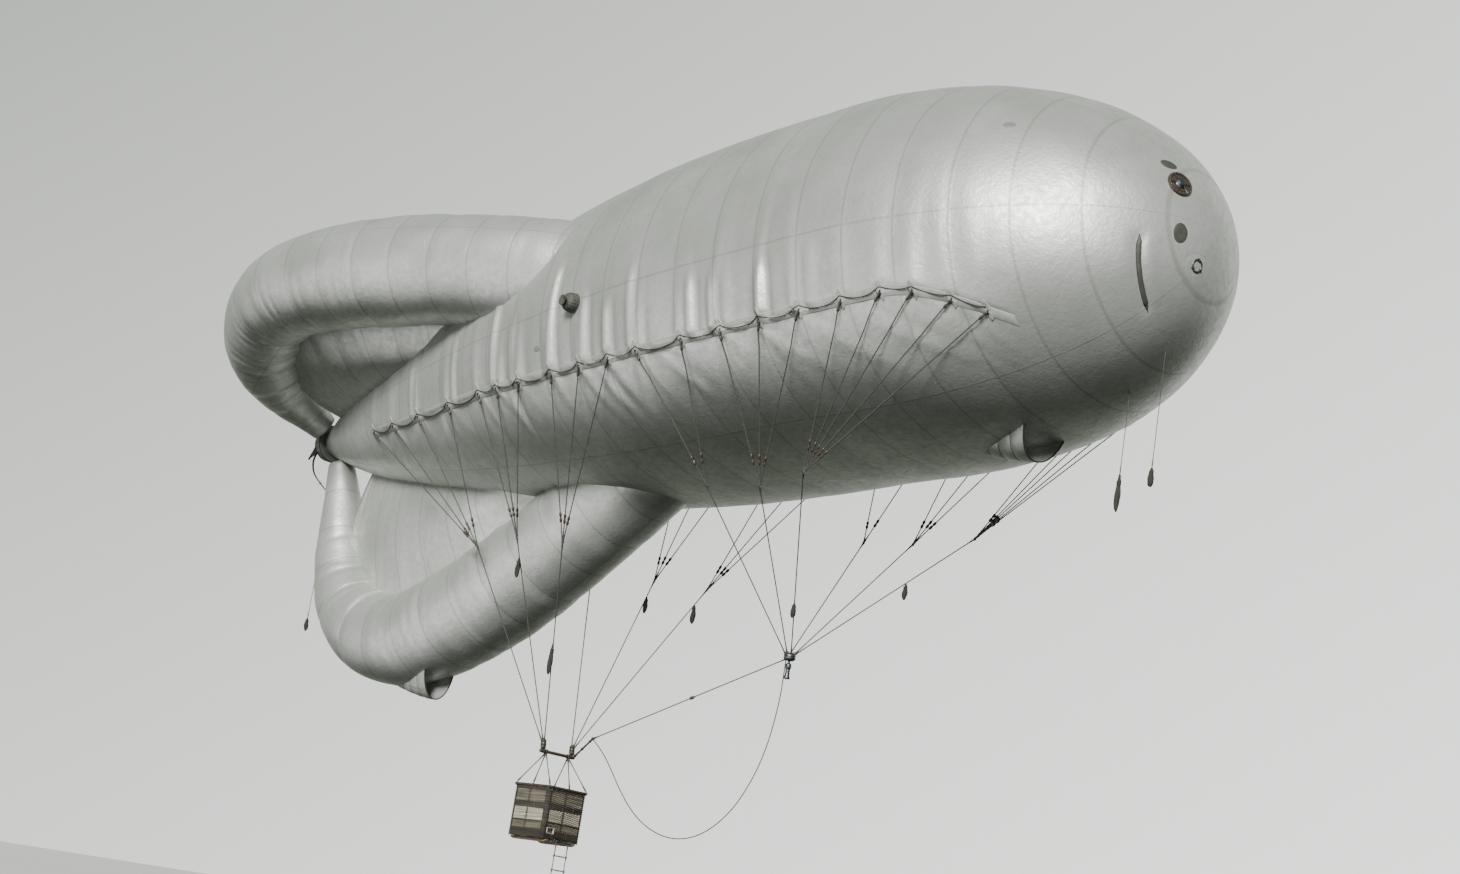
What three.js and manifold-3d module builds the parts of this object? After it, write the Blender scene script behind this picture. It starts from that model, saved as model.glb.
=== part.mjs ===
// Kite balloon with a manned basket, in flight attitude.
// Millimetres, +X towards the nose, +Y to port, +Z up.
// The origin is on the envelope's axis at its widest station.
import * as THREE from 'three';
import { mergeVertices } from 'three/addons/utils/BufferGeometryUtils.js';
import Module from 'manifold-3d';

const wasm = await Module();
wasm.setup();

// Driving dimensions
const gap = 0.3;
const noseUpDegrees = 7;
const envelope = {
  radius: 4100, noseTip: 9500, noseLength: 7000, tailTip: -15950, tailPower: 1.75, tailBlunt: 0.9,
  flattest: 0.31, skin: 10, sides: 32, noseSteps: 8, tailSteps: 12, tailCrowding: 1.1,
};
const band = {
  front: 6900, rear: -11900, level: -20, frontDroop: -20, frontDroopFrom: 4800, frontCurve: 1.8,
  rearDroop: -5, rearDroopFrom: -6500, width: 240, thickness: 14, sink: 80, steps: 24,
};
const lobe = {
  skin: 10, rollSides: 12, rollSteps: 17, padSides: 12, padSteps: 9, padRoot: 0.45, padCrown: 2600,
  padCrownFall: 900, padLean: 1150,
};
const valve = { x: 9230, angle: 37, radius: 250, depth: 70, boss: 110, bossTop: 70, bossHeight: 60 };
const noseRing = { x: 9330, angle: -58, radius: 110, tube: 22, sink: 24 };
const sleeve = { x: -2940, angle: -1, radius: 190, tiedRadius: 60, length: 330, sink: 80 };
const tailCap = { front: -15450, radius: 470, back: -16020, lip: 42 };
const scoop = { skin: 12, taper: 0.72 };
const bellyScoop = {
  mouth: 5620, rake: 400, back: 4330, width: 1380, topZ: -2600, mouthZ: -3660, backZ: -3300,
};
const rudderScoop = {
  mouth: -10700, rake: 150, back: -12050, width: 900, topZ: -5700, mouthZ: -6780, backZ: -6350,
};
const rope = { radius: 13, sides: 5, knot: 34 };
const toggle = { radius: 30, length: 210, lift: 30 };
const hank = { top: 34, bottom: 64, sides: 7 };
const legToggleUp = 450;
const bar = { x: -6500, z: -8300, radius: 36, halfLength: 500, sides: 24 };
const stayBlock = { radius: 62, height: 210, rise: 150, inset: 420, post: 24, spread: 34, out: 14, up: 40 };
const horn = { x: 560, z: 370, y: 470, radius: 24, knob: 36 };
const plate = {
  x: -100, z: -6800, radius: 120, height: 150, eyeCircle: 74, eyeRise: 30, firstEye: 150, eyeStep: 60,
  linkX: -60, linkZ: -20,
};
const swivel = { radius: 62, height: 120, stem: 26, stemLength: 60, lap: 10 };
const socket = { radius: 46, mouth: 62, height: 190 };
const basket = {
  length: 1100, width: 1100, height: 1020, wall: 34, rimDrop: 760, floorThickness: 32,
  rimRadius: 34, rimProud: 15, skidHeight: 60, skidWidth: 70, skidY: 396,
};
const foothold = { width: 210, height: 130, above: 90, offset: -330 };
const sling = {
  sleeveY: 330, sleeveWall: 16, sleeveWidth: 70, radius: 12, eye: 26, spread: 20, endIn: 30, sideIn: 20,
  eyeRise: 60,
};
const ladder = {
  halfWidth: 170, rungs: 6, pitch: 290, stile: 11, rung: 15, rungProud: 30, hub: 12, hubWidth: 40,
  pin: 14, pinReach: 62, pinProud: 90, below: 46, armWidth: 24, armHeight: 30, armInset: 20, hangerLength: 34,
};
const cord = { radius: 11, sides: 8, steps: 48 };

// Side-lobe and rudder-lobe roll centrelines: station, height from the axis, tube radius
const sideRoll = [
  [-3600, 2400, 1080], [-5100, 2960, 1170], [-7200, 3640, 1200], [-9200, 4140, 1220],
  [-11200, 4430, 1160], [-12600, 4420, 1100], [-13800, 4060, 1030], [-14800, 3310, 960],
  [-15270, 2480, 830], [-15400, 1780, 650], [-15380, 1150, 470], [-15330, 560, 340],
];
const rudderRoll = [
  [-3700, 2050, 1020], [-4900, 2620, 1100], [-6900, 3620, 1160], [-8900, 4560, 1180],
  [-10700, 5120, 1140], [-12000, 5260, 1080], [-13250, 4900, 990], [-14100, 4080, 860],
  [-14560, 3100, 700], [-14760, 2200, 560], [-14930, 1350, 430], [-15080, 600, 320],
];
// Lobes: name, angle up from starboard, roll rows, pad half-thickness, pad front and rear stations
const lobes = [
  { name: 'starboard', angle: 30, rows: sideRoll, padThickness: 900, padFront: -4700, padRear: -14950 },
  { name: 'port', angle: 150, rows: sideRoll, padThickness: 900, padFront: -4700, padRear: -14950 },
  { name: 'rudder', angle: -90, rows: rudderRoll, padThickness: 820, padFront: -4500, padRear: -14350 },
];
// Stays on each side: name, stations of the two band toggles, what holds the lower end, its slot there,
// split (share of the way down where the legs meet) and flare (how far out they meet)
const stays = [
  { name: 'basket_stay_aft', toggles: [-9320, -7830], to: 'block', slot: 0, split: 0.42, flare: 1 },
  { name: 'basket_stay_mid', toggles: [-6530, -4970], to: 'block', slot: 1, split: 0.42, flare: 1 },
  { name: 'basket_stay_fore', toggles: [-3820, -1970], to: 'block', slot: 2, split: 0.46, flare: 1 },
  { name: 'mooring_stay_aft', toggles: [-1150, 90], to: 'plate', slot: 0, split: 0.46, flare: 1.15 },
  { name: 'mooring_stay_mid', toggles: [1090, 3040], to: 'plate', slot: 1, split: 0.5, flare: 1.2 },
  { name: 'mooring_stay_fore', toggles: [3970, 5380], to: 'plate', slot: 2, split: 0.5, flare: 1.45 },
];
// Hanks of stowed line that hang from a stay: its node, distance up from its lower end, length of the hank
const hanks = [
  { stay: 'basket_stay_mid_starboard', up: 3950, length: 440 },
  { stay: 'basket_stay_mid_port', up: 3950, length: 380 },
  { stay: 'basket_stay_fore_starboard', up: 2280, length: 680 },
  { stay: 'basket_stay_fore_port', up: 4070, length: 420 },
  { stay: 'mooring_stay_fore_starboard', up: 1330, length: 300 },
  { stay: 'mooring_stay_fore_port', up: 2730, length: 340 },
];

const degrees = THREE.MathUtils.degToRad;
const noseUp = degrees(noseUpDegrees);
const sides = [{ name: 'starboard', sign: -1 }, { name: 'port', sign: 1 }];
const finish = (color, roughness, metalness = 0) => (
  new THREE.MeshStandardMaterial({ color, roughness, metalness })
);
const finishes = {
  silveredFabric: finish(0xa9aaa4, 0.5, 0.15),
  tape: finish(0x8d8e88, 0.7),
  rope: finish(0x3f3b34, 0.9),
  cable: finish(0x2a2a2a, 0.6),
  ash: finish(0x8a6b46, 0.65),
  wicker: finish(0x6f5a3c, 0.85),
  leather: finish(0x4a3526, 0.7),
  steel: finish(0x5f6264, 0.45, 0.8),
};

// Solids and booleans
function toSolid(geometry) {
  const bare = geometry.clone();
  bare.deleteAttribute('normal');
  bare.deleteAttribute('uv');
  const merged = mergeVertices(bare, 1e-3);
  return new wasm.Manifold(new wasm.Mesh({
    numProp: 3,
    vertProperties: new Float32Array(merged.attributes.position.array),
    triVerts: new Uint32Array(merged.index.array),
  }));
}

function toGeometry(solid) {
  const { vertProperties, triVerts, numProp } = solid.getMesh();
  const positions = [];
  for (let i = 0; i < vertProperties.length; i += numProp) {
    positions.push(vertProperties[i], vertProperties[i + 1], vertProperties[i + 2]);
  }
  const geometry = new THREE.BufferGeometry();
  geometry.setAttribute('position', new THREE.Float32BufferAttribute(positions, 3));
  geometry.setIndex(Array.from(triVerts));
  return geometry;
}

const join = (geometries) => geometries.map(toSolid).reduce((whole, next) => whole.add(next));
const cut = (solid, cutters) => cutters.reduce((left, cutter) => left.subtract(cutter), solid);
const mainBody = (solid) => solid.decompose().sort((a, b) => b.volume() - a.volume())[0];

function shifted(geometry, distance) {
  const bare = geometry.clone();
  bare.deleteAttribute('normal');
  bare.deleteAttribute('uv');
  const moved = mergeVertices(bare, 1e-3);
  moved.computeVertexNormals();
  const { position, normal } = moved.attributes;
  for (let i = 0; i < position.count; i += 1) {
    position.setXYZ(
      i,
      position.getX(i) + normal.getX(i) * distance,
      position.getY(i) + normal.getY(i) * distance,
      position.getZ(i) + normal.getZ(i) * distance,
    );
  }
  return moved;
}

// Triangles turned so that the volume that they enclose is positive
function facingOut(points, index) {
  let volume = 0;
  for (let i = 0; i < index.length; i += 3) {
    const [a, b, c] = [points[index[i]], points[index[i + 1]], points[index[i + 2]]];
    volume += a.dot(new THREE.Vector3().crossVectors(b, c));
  }
  return volume > 0 ? index : index.reverse();
}

// A closed skin over rings of equal count, with a point at each end
function loft(rings, startPoint, endPoint) {
  const count = rings[0].length;
  const points = [startPoint, ...rings.flat(), endPoint];
  const last = points.length - 1;
  const index = [];
  for (let side = 0; side < count; side += 1) {
    const next = (side + 1) % count;
    index.push(0, 1 + next, 1 + side);
    for (let ring = 0; ring < rings.length - 1; ring += 1) {
      const here = 1 + ring * count;
      const ahead = here + count;
      index.push(here + side, here + next, ahead + side, here + next, ahead + next, ahead + side);
    }
    const tail = 1 + (rings.length - 1) * count;
    index.push(tail + side, tail + next, last);
  }
  const geometry = new THREE.BufferGeometry().setFromPoints(points);
  geometry.setIndex(facingOut(points, index));
  return geometry;
}

function rod(from, to, radius, count = rope.sides) {
  const along = new THREE.Vector3().subVectors(to, from);
  const geometry = new THREE.CylinderGeometry(radius, radius, along.length(), count);
  const turn = new THREE.Quaternion().setFromUnitVectors(
    new THREE.Vector3(0, 1, 0),
    along.clone().normalize(),
  );
  geometry.applyQuaternion(turn);
  const middle = from.clone().lerp(to, 0.5);
  return geometry.translate(middle.x, middle.y, middle.z);
}

const point = (x, y, z) => new THREE.Vector3(x, y, z);
const ball = (radius, at) => new THREE.IcosahedronGeometry(radius, 0).translate(at.x, at.y, at.z);

// Envelope surface
function envelopeRadius(x) {
  const { radius, noseTip, noseLength, tailTip, tailPower, tailBlunt } = envelope;
  const shoulder = noseTip - noseLength;
  if (x > shoulder) return radius * Math.sqrt(Math.max(0, 1 - ((x - shoulder) / noseLength) ** 2));
  if (x > 0) return radius;
  return radius * (1 - (x / tailTip) ** tailPower) ** tailBlunt;
}

function bellyKeep(x) {
  const reach = x > 0 ? x / envelope.noseTip : x / envelope.tailTip;
  return 1 - envelope.flattest * Math.cos(Math.min(1, reach) * Math.PI / 2);
}

function hullPoint(x, angle, lift = 0) {
  const radius = envelopeRadius(x);
  const turn = degrees(angle);
  const waist = radius * Math.sin(degrees(band.level));
  const height = (radius + lift) * Math.sin(turn);
  const z = height < waist ? waist + (height - waist) * bellyKeep(x) : height;
  return point(x, -(radius + lift) * Math.cos(turn), z);
}

function hullNormal(x, angle) {
  const along = hullPoint(x - 20, angle).sub(hullPoint(x + 20, angle));
  const around = hullPoint(x, angle + 0.5).sub(hullPoint(x, angle - 0.5));
  return around.cross(along).normalize();
}

function hullGeometry() {
  const { noseTip, noseLength, tailTip, noseSteps, tailSteps, tailCrowding } = envelope;
  const lastRing = tailTip * 0.995;
  const stations = [];
  for (let i = 1; i <= noseSteps; i += 1) {
    stations.push(noseTip - noseLength * (1 - Math.cos((i / noseSteps) * Math.PI / 2)));
  }
  for (let i = 0; i <= tailSteps; i += 1) {
    stations.push(lastRing * Math.sin((i / tailSteps) * Math.PI / 2) ** tailCrowding);
  }
  const rings = stations.map((x) => {
    const ring = [];
    for (let side = 0; side < envelope.sides; side += 1) {
      ring.push(hullPoint(x, (side / envelope.sides) * 360));
    }
    return ring;
  });
  return loft(rings, point(noseTip, 0, 0), point(tailTip, 0, 0));
}

const hull = hullGeometry();
const hullCutter = toSolid(shifted(hull, gap));

function placeOnHull(geometry, x, angle) {
  const turn = new THREE.Quaternion().setFromUnitVectors(point(0, 0, 1), hullNormal(x, angle));
  const seat = hullPoint(x, angle);
  return geometry.applyQuaternion(turn).translate(seat.x, seat.y, seat.z);
}

const upright = (geometry) => geometry.rotateX(Math.PI / 2);

function envelopeSkin() {
  const inside = toSolid(shifted(hull, -envelope.skin));
  const bore = valve.radius + gap;
  const hole = upright(new THREE.CylinderGeometry(bore, bore, 2 * bore, 24));
  return cut(toSolid(hull), [inside, toSolid(placeOnHull(hole, valve.x, valve.angle))]);
}

function gasValve() {
  const { radius, depth, boss: bossRadius, bossTop, bossHeight } = valve;
  const disc = upright(new THREE.CylinderGeometry(radius, radius, depth, 24));
  const boss = upright(new THREE.CylinderGeometry(bossTop, bossRadius, bossHeight, 12))
    .translate(0, 0, bossHeight);
  return join([disc, boss].map((piece) => placeOnHull(piece, valve.x, valve.angle)));
}

function noseLineRing() {
  const ring = new THREE.TorusGeometry(noseRing.radius, noseRing.tube, 5, 12)
    .translate(0, 0, -noseRing.sink);
  return cut(toSolid(placeOnHull(ring, noseRing.x, noseRing.angle)), [hullCutter]);
}

function inflationSleeve() {
  const { radius, tiedRadius, length, sink } = sleeve;
  const outline = [
    [0, -sink], [radius, -sink], [radius * 1.05, length * 0.35], [radius * 0.9, length * 0.62],
    [tiedRadius, length * 0.78], [tiedRadius * 1.7, length], [0, length],
  ].map(([r, z]) => new THREE.Vector2(r, z));
  const tube = upright(new THREE.LatheGeometry(outline, 12));
  return cut(toSolid(placeOnHull(tube, sleeve.x, sleeve.angle)), [hullCutter]);
}

function tailCapSolid() {
  const { front, radius, back, lip } = tailCap;
  const outline = [
    [0, back], [radius * 0.4, back + lip], [radius * 0.8, (front + back) / 2], [radius, front],
    [radius - lip, front + 1], [0, front + 1],
  ].map(([r, x]) => new THREE.Vector2(r, x));
  const cap = new THREE.LatheGeometry(outline, 12).rotateZ(-Math.PI / 2);
  return toSolid(cap);
}

// Suspension bands: a tape on the skin, from nose to tail
function bandAngle(x) {
  const { level, front, rear, frontDroop, frontDroopFrom, frontCurve, rearDroop, rearDroopFrom } = band;
  if (x > frontDroopFrom) {
    return level + frontDroop * ((x - frontDroopFrom) / (front - frontDroopFrom)) ** frontCurve;
  }
  if (x < rearDroopFrom) return level + rearDroop * ((x - rearDroopFrom) / (rear - rearDroopFrom));
  return level;
}

const onSide = (vector, sign) => point(vector.x, -vector.y * sign, vector.z);

function bandGeometry(sign, grow) {
  const { front, rear, width, thickness, sink, steps } = band;
  const rings = [];
  for (let i = 0; i <= steps; i += 1) {
    const x = front + (rear - front) * (i / steps);
    const angle = bandAngle(x);
    const half = THREE.MathUtils.radToDeg((width / 2 + grow) / envelopeRadius(x));
    const top = thickness + grow;
    const corners = [[-half, -sink], [half, -sink], [half, top], [-half, top]];
    const ring = corners.map(([swing, lift]) => onSide(hullPoint(x, angle + swing, lift), sign));
    rings.push(ring);
  }
  const middleOf = (ring) => ring.reduce((sum, p) => sum.add(p), point(0, 0, 0)).divideScalar(4);
  return loft(rings, middleOf(rings[0]), middleOf(rings[steps]));
}

// Lobes, built upright and turned about the axis
function rollGeometry(rows, grow = 0) {
  const { rollSteps, rollSides } = lobe;
  const curve = new THREE.CatmullRomCurve3(rows.map(([x, height, radius]) => point(x, height, radius)));
  const samples = curve.getSpacedPoints(rollSteps);
  const rings = samples.map((sample, i) => {
    const before = samples[Math.max(0, i - 1)];
    const after = samples[Math.min(rollSteps, i + 1)];
    const along = point(after.x - before.x, 0, after.y - before.y).normalize();
    const across = point(0, 1, 0);
    const out = new THREE.Vector3().crossVectors(across, along);
    const radius = sample.z + grow;
    const ring = [];
    for (let side = 0; side < rollSides; side += 1) {
      const turn = (side / rollSides) * 2 * Math.PI;
      ring.push(point(sample.x, 0, sample.y)
        .addScaledVector(out, radius * Math.cos(turn))
        .addScaledVector(across, radius * Math.sin(turn)));
    }
    return ring;
  });
  const centre = ({ x, y }) => point(x, 0, y);
  return loft(rings, centre(samples[0]), centre(samples[rollSteps]));
}

function rollHeight(rows, x) {
  const ahead = rows.findIndex((row, i) => i > 0 && row[0] <= x);
  const from = rows[Math.max(0, ahead - 1)];
  const to = rows[Math.max(0, ahead)];
  const share = (x - from[0]) / (to[0] - from[0] || 1);
  return from[1] + (to[1] - from[1]) * Math.min(1, Math.max(0, share));
}

function padGeometry({ rows, padThickness, padFront, padRear }, grow = 0) {
  const { padSteps, padSides, padRoot, padCrown, padCrownFall, padLean } = lobe;
  const rings = [];
  for (let i = 0; i <= padSteps; i += 1) {
    const share = i / padSteps;
    const x = padFront + grow + (padRear - padFront - 2 * grow) * share;
    const top = Math.max(rollHeight(rows, x), padCrown - padCrownFall * share);
    const root = envelopeRadius(Math.max(x, padRear)) * padRoot;
    const bulge = Math.sin(Math.PI * Math.min(0.94, 0.2 + 0.76 * share)) ** 0.7;
    const half = padThickness * bulge + grow;
    const lean = padLean * share ** 6;
    const ring = [];
    for (let side = 0; side < padSides; side += 1) {
      const turn = (side / padSides) * 2 * Math.PI;
      const up = (1 + Math.cos(turn)) / 2;
      const height = root + (top - root) * up + grow * Math.cos(turn);
      const forward = lean * (1 - up) ** 1.5;
      ring.push(point(x + forward, half * Math.sin(turn), height));
    }
    rings.push(ring);
  }
  const middleOf = (ring) => ring.reduce((sum, p) => sum.add(p), point(0, 0, 0)).divideScalar(padSides);
  return loft(rings, middleOf(rings[0]), middleOf(rings[padSteps]));
}

function lobeSolids(row) {
  const turn = degrees(90 - row.angle);
  const roll = rollGeometry(row.rows).rotateX(turn);
  const rollInside = rollGeometry(row.rows, -lobe.skin).rotateX(turn);
  const rollOutside = rollGeometry(row.rows, gap).rotateX(turn);
  const pad = padGeometry(row).rotateX(turn);
  const padInside = padGeometry(row, -lobe.skin).rotateX(turn);
  return {
    roll: mainBody(cut(toSolid(roll), [toSolid(rollInside), hullCutter])),
    pad: mainBody(cut(toSolid(pad), [toSolid(padInside), toSolid(rollOutside), hullCutter])),
  };
}

// Air scoops: fabric hoods with an open mouth facing forward
function scoopGeometry({ mouth, rake, back, width, topZ, mouthZ, backZ }, shrink) {
  const rings = [0, 0.35, 0.7, 1].map((share) => {
    const x = mouth + (back - mouth) * share + shrink * (share === 0 ? 4 : share);
    const bottom = mouthZ + (backZ - mouthZ) * share ** 1.3 + shrink;
    const half = (width / 2) * (1 - scoop.taper * share) - shrink;
    const outline = [];
    for (let i = 0; i <= 8; i += 1) {
      const turn = Math.PI * (i / 8);
      const depth = Math.sin(turn) ** 0.7;
      const forward = rake * (1 - depth) * (1 - share);
      outline.push(point(x + forward, half * Math.cos(turn), topZ + (bottom - topZ) * depth));
    }
    return outline;
  });
  const middleOf = (ring) => ring.reduce((sum, p) => sum.add(p), point(0, 0, 0)).divideScalar(9);
  return loft(rings, middleOf(rings[0]), middleOf(rings[3]));
}

function scoopSolid(sizes, cutters) {
  const outside = toSolid(scoopGeometry(sizes, 0));
  const inside = toSolid(scoopGeometry(sizes, scoop.skin));
  return mainBody(cut(outside, [inside, ...cutters]));
}

// Rigging
const blockCentre = (sign) => point(bar.x, sign * stayBlock.inset, bar.z + stayBlock.rise);
const plateCentre = point(plate.x, 0, plate.z);

function beadGeometry(radius, height, count) {
  const outline = [[0, -height / 2], [radius * 0.7, -height / 2], [radius, -height / 4],
    [radius, height / 4], [radius * 0.7, height / 2], [0, height / 2]];
  const profile = outline.map(([r, z]) => new THREE.Vector2(r, z));
  return upright(new THREE.LatheGeometry(profile, count));
}

function stayLowerEnd({ to, slot }, sign) {
  if (to === 'block') {
    return blockCentre(sign).add(point((slot - 1) * stayBlock.spread, sign * stayBlock.out, stayBlock.up));
  }
  const { eyeCircle, eyeRise, firstEye, eyeStep } = plate;
  const turn = degrees(sign * (firstEye - slot * eyeStep));
  return plateCentre.clone().add(point(eyeCircle * Math.cos(turn), eyeCircle * Math.sin(turn), eyeRise));
}

function staySolid(row, sign, name, cutters) {
  const feet = row.toggles.map((x) => onSide(hullPoint(x, bandAngle(x), toggle.lift), sign));
  const lower = stayLowerEnd(row, sign);
  const apex = feet[0].clone().lerp(feet[1], 0.5).lerp(lower, row.split);
  apex.y *= row.flare;
  const pieces = [ball(rope.knot, apex), rod(lower, apex, rope.radius)];
  for (const foot of feet) {
    const down = apex.clone().sub(foot).normalize();
    const onLeg = (distance) => foot.clone().addScaledVector(down, distance);
    const legEnd = foot.distanceTo(apex) - legToggleUp;
    pieces.push(rod(foot, apex, rope.radius));
    for (const top of [0, legEnd - toggle.length]) {
      pieces.push(rod(onLeg(top), onLeg(top + toggle.length), toggle.radius));
    }
  }
  for (const { up, length } of hanks.filter(({ stay }) => stay === name)) {
    const top = lower.clone().lerp(apex, up / lower.distanceTo(apex));
    const shape = new THREE.CylinderGeometry(hank.top, hank.bottom, length, hank.sides)
      .translate(0, -length / 2, 0).rotateX(Math.PI / 2).rotateY(noseUp);
    pieces.push(shape.translate(top.x, top.y, top.z));
  }
  return mainBody(cut(join(pieces), cutters));
}

const inFlight = (vector) => vector.clone().applyAxisAngle(point(0, 1, 0), -noseUp);
const inRigging = (geometry) => geometry.clone().rotateY(noseUp);

// Scene graph
const group = new THREE.Group();
const balloon = new THREE.Group();
balloon.rotation.y = -noseUp;
group.add(balloon);

function add(parent, name, solidOrGeometry, material, at = point(0, 0, 0)) {
  const geometry = solidOrGeometry.isBufferGeometry ? solidOrGeometry : toGeometry(solidOrGeometry);
  const mesh = new THREE.Mesh(geometry, material);
  mesh.name = name;
  mesh.position.copy(at);
  parent.add(mesh);
  return mesh;
}

add(balloon, 'envelope', envelopeSkin(), finishes.silveredFabric);
add(balloon, 'gas_valve', gasValve(), finishes.ash);
add(balloon, 'nose_line_ring', noseLineRing(), finishes.steel);
add(balloon, 'inflation_sleeve', inflationSleeve(), finishes.tape);

const lobeCutters = [];
for (const row of lobes) {
  const { roll, pad } = lobeSolids(row);
  add(balloon, `${row.name}_lobe_roll`, roll, finishes.silveredFabric);
  add(balloon, `${row.name}_lobe_pad`, pad, finishes.silveredFabric);
  lobeCutters.push(toSolid(rollGeometry(row.rows, gap).rotateX(degrees(90 - row.angle))));
}
add(balloon, 'tail_cap', mainBody(cut(tailCapSolid(), [hullCutter, ...lobeCutters])), finishes.tape);

add(balloon, 'belly_scoop', scoopSolid(bellyScoop, [hullCutter]), finishes.silveredFabric);
add(balloon, 'rudder_scoop', scoopSolid(rudderScoop, [lobeCutters[2]]), finishes.silveredFabric);

const plateGeometry = beadGeometry(plate.radius, plate.height, 12);
const platePosition = inFlight(plateCentre);
add(group, 'mooring_plate', plateGeometry, finishes.steel, platePosition);
const plateGrown = shifted(plateGeometry, gap).translate(platePosition.x, platePosition.y, platePosition.z);
const plateCutter = toSolid(inRigging(plateGrown));

for (const { name: side, sign } of sides) {
  const bandCutter = toSolid(bandGeometry(sign, gap));
  const strip = mainBody(cut(toSolid(bandGeometry(sign, 0)), [hullCutter]));
  add(balloon, `suspension_band_${side}`, strip, finishes.tape);

  const block = beadGeometry(stayBlock.radius, stayBlock.height, 10);
  const centre = blockCentre(sign);
  const post = rod(point(bar.x, centre.y, bar.z + bar.radius + gap), centre, stayBlock.post, 8);
  block.translate(centre.x, centre.y, centre.z);
  add(balloon, `stay_block_${side}`, join([block, post]), finishes.ash);
  const blockCutter = toSolid(shifted(block, gap));

  for (const row of stays) {
    const cutters = [hullCutter, bandCutter, row.to === 'block' ? blockCutter : plateCutter];
    const name = `${row.name}_${side}`;
    add(balloon, name, staySolid(row, sign, name, cutters), finishes.rope);
  }
}

// Trapeze bar with a forward toggle on its port end
const barCentre = point(bar.x, 0, bar.z);
const hornRoot = barCentre.clone().add(point(0, horn.y, 0));
const hornTip = hornRoot.clone().add(point(horn.x, 0, horn.z));
const barPieces = [
  new THREE.CylinderGeometry(bar.radius, bar.radius, 2 * bar.halfLength, bar.sides)
    .translate(bar.x, 0, bar.z),
  rod(hornRoot, hornTip, horn.radius, 8),
  ball(horn.knob, hornTip),
];
const hornSolid = join(barPieces.slice(1));
add(balloon, 'trapeze_bar', join(barPieces), finishes.ash);
const hornCutter = toSolid(ball(horn.knob + gap, hornTip));

const linkEnd = plateCentre.clone().add(point(plate.linkX, 0, plate.linkZ));
add(balloon, 'link_rope', mainBody(cut(
  join([rod(hornTip, linkEnd, rope.radius)]),
  [hornCutter, hornSolid, plateCutter],
)), finishes.rope);

// Mooring swivel and cable socket, which turn about the vertical below the plate
const swivelTop = platePosition.clone().add(point(0, 0, -plate.height / 2 - gap));
const swivelHead = upright(new THREE.CylinderGeometry(swivel.stem, swivel.stem, swivel.stemLength, 12))
  .translate(0, 0, -swivel.stemLength / 2);
const swivelBody = beadGeometry(swivel.radius, swivel.height, 12)
  .translate(0, 0, swivel.lap - swivel.stemLength - swivel.height / 2);
add(group, 'mooring_swivel', join([swivelHead, swivelBody]), finishes.steel, swivelTop);
const socketTop = swivelTop.clone().add(point(0, 0, swivel.lap - swivel.stemLength - swivel.height - gap));
const socketOutline = [[0, 0], [socket.radius, 0], [socket.radius, -socket.height * 0.6],
  [socket.mouth, -socket.height * 0.8], [socket.mouth, -socket.height], [0, -socket.height]]
  .map(([r, z]) => new THREE.Vector2(r, z));
const socketShape = upright(new THREE.LatheGeometry(socketOutline.reverse(), 12));
add(group, 'cable_socket', socketShape, finishes.steel, socketTop);

// Telephone cord from the mooring plate to the bar's toggle, hanging free: x, y, z
const cordRoute = [
  [-92, 0, 0], [-94, 4, -180], [-104, 16, -420], [-132, 38, -760], [-200, 60, -1180], [-310, 85, -1640],
  [-480, 110, -2100], [-720, 140, -2540], [-1040, 180, -2950], [-1440, 225, -3290], [-1900, 270, -3540],
  [-2400, 315, -3670], [-2900, 355, -3680], [-3380, 390, -3580], [-3830, 415, -3390], [-4240, 440, -3120],
  [-4600, 455, -2790], [-4920, 465, -2450], [-5230, 470, -2130],
];
const cordTop = platePosition.clone().add(point(0, 0, -plate.height / 4));
const cordEnd = inFlight(hornTip);
const cordPoints = cordRoute.map(([x, y, z]) => point(cordTop.x + x, cordTop.y + y, cordTop.z + z));
cordPoints.push(cordEnd);
const cordSection = new THREE.Shape();
for (let side = 0; side < cord.sides; side += 1) {
  const turn = (side / cord.sides) * 2 * Math.PI;
  const draw = side === 0 ? 'moveTo' : 'lineTo';
  cordSection[draw](cord.radius * Math.cos(turn), cord.radius * Math.sin(turn));
}
const cordTube = new THREE.ExtrudeGeometry(cordSection, {
  steps: cord.steps,
  bevelEnabled: false,
  extrudePath: new THREE.CatmullRomCurve3(cordPoints),
});
const hornCutterInFlight = toSolid(new THREE.IcosahedronGeometry(horn.knob + gap, 0)
  .rotateY(-noseUp).translate(cordEnd.x, cordEnd.y, cordEnd.z));
add(group, 'telephone_cord', mainBody(cut(
  toSolid(cordTube),
  [toSolid(plateGrown), hornCutterInFlight],
)), finishes.cable);

// Basket, hanging level from the bar
const pivot = inFlight(barCentre);
const car = new THREE.Group();
car.position.copy(pivot);
group.add(car);
const rimZ = -basket.rimDrop;
const floorTop = rimZ - basket.height;

function ringPrism(length, width, wall, height) {
  const outline = new THREE.Shape();
  const inner = new THREE.Path();
  const corners = [[-1, -1], [1, -1], [1, 1], [-1, 1]];
  outline.setFromPoints(corners.map(([i, j]) => new THREE.Vector2(i * length / 2, j * width / 2)));
  inner.setFromPoints(corners.map(([i, j]) => (
    new THREE.Vector2(i * (length / 2 - wall), j * (width / 2 - wall)))));
  outline.holes.push(inner);
  return new THREE.ExtrudeGeometry(outline, { depth: height, bevelEnabled: false });
}

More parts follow.
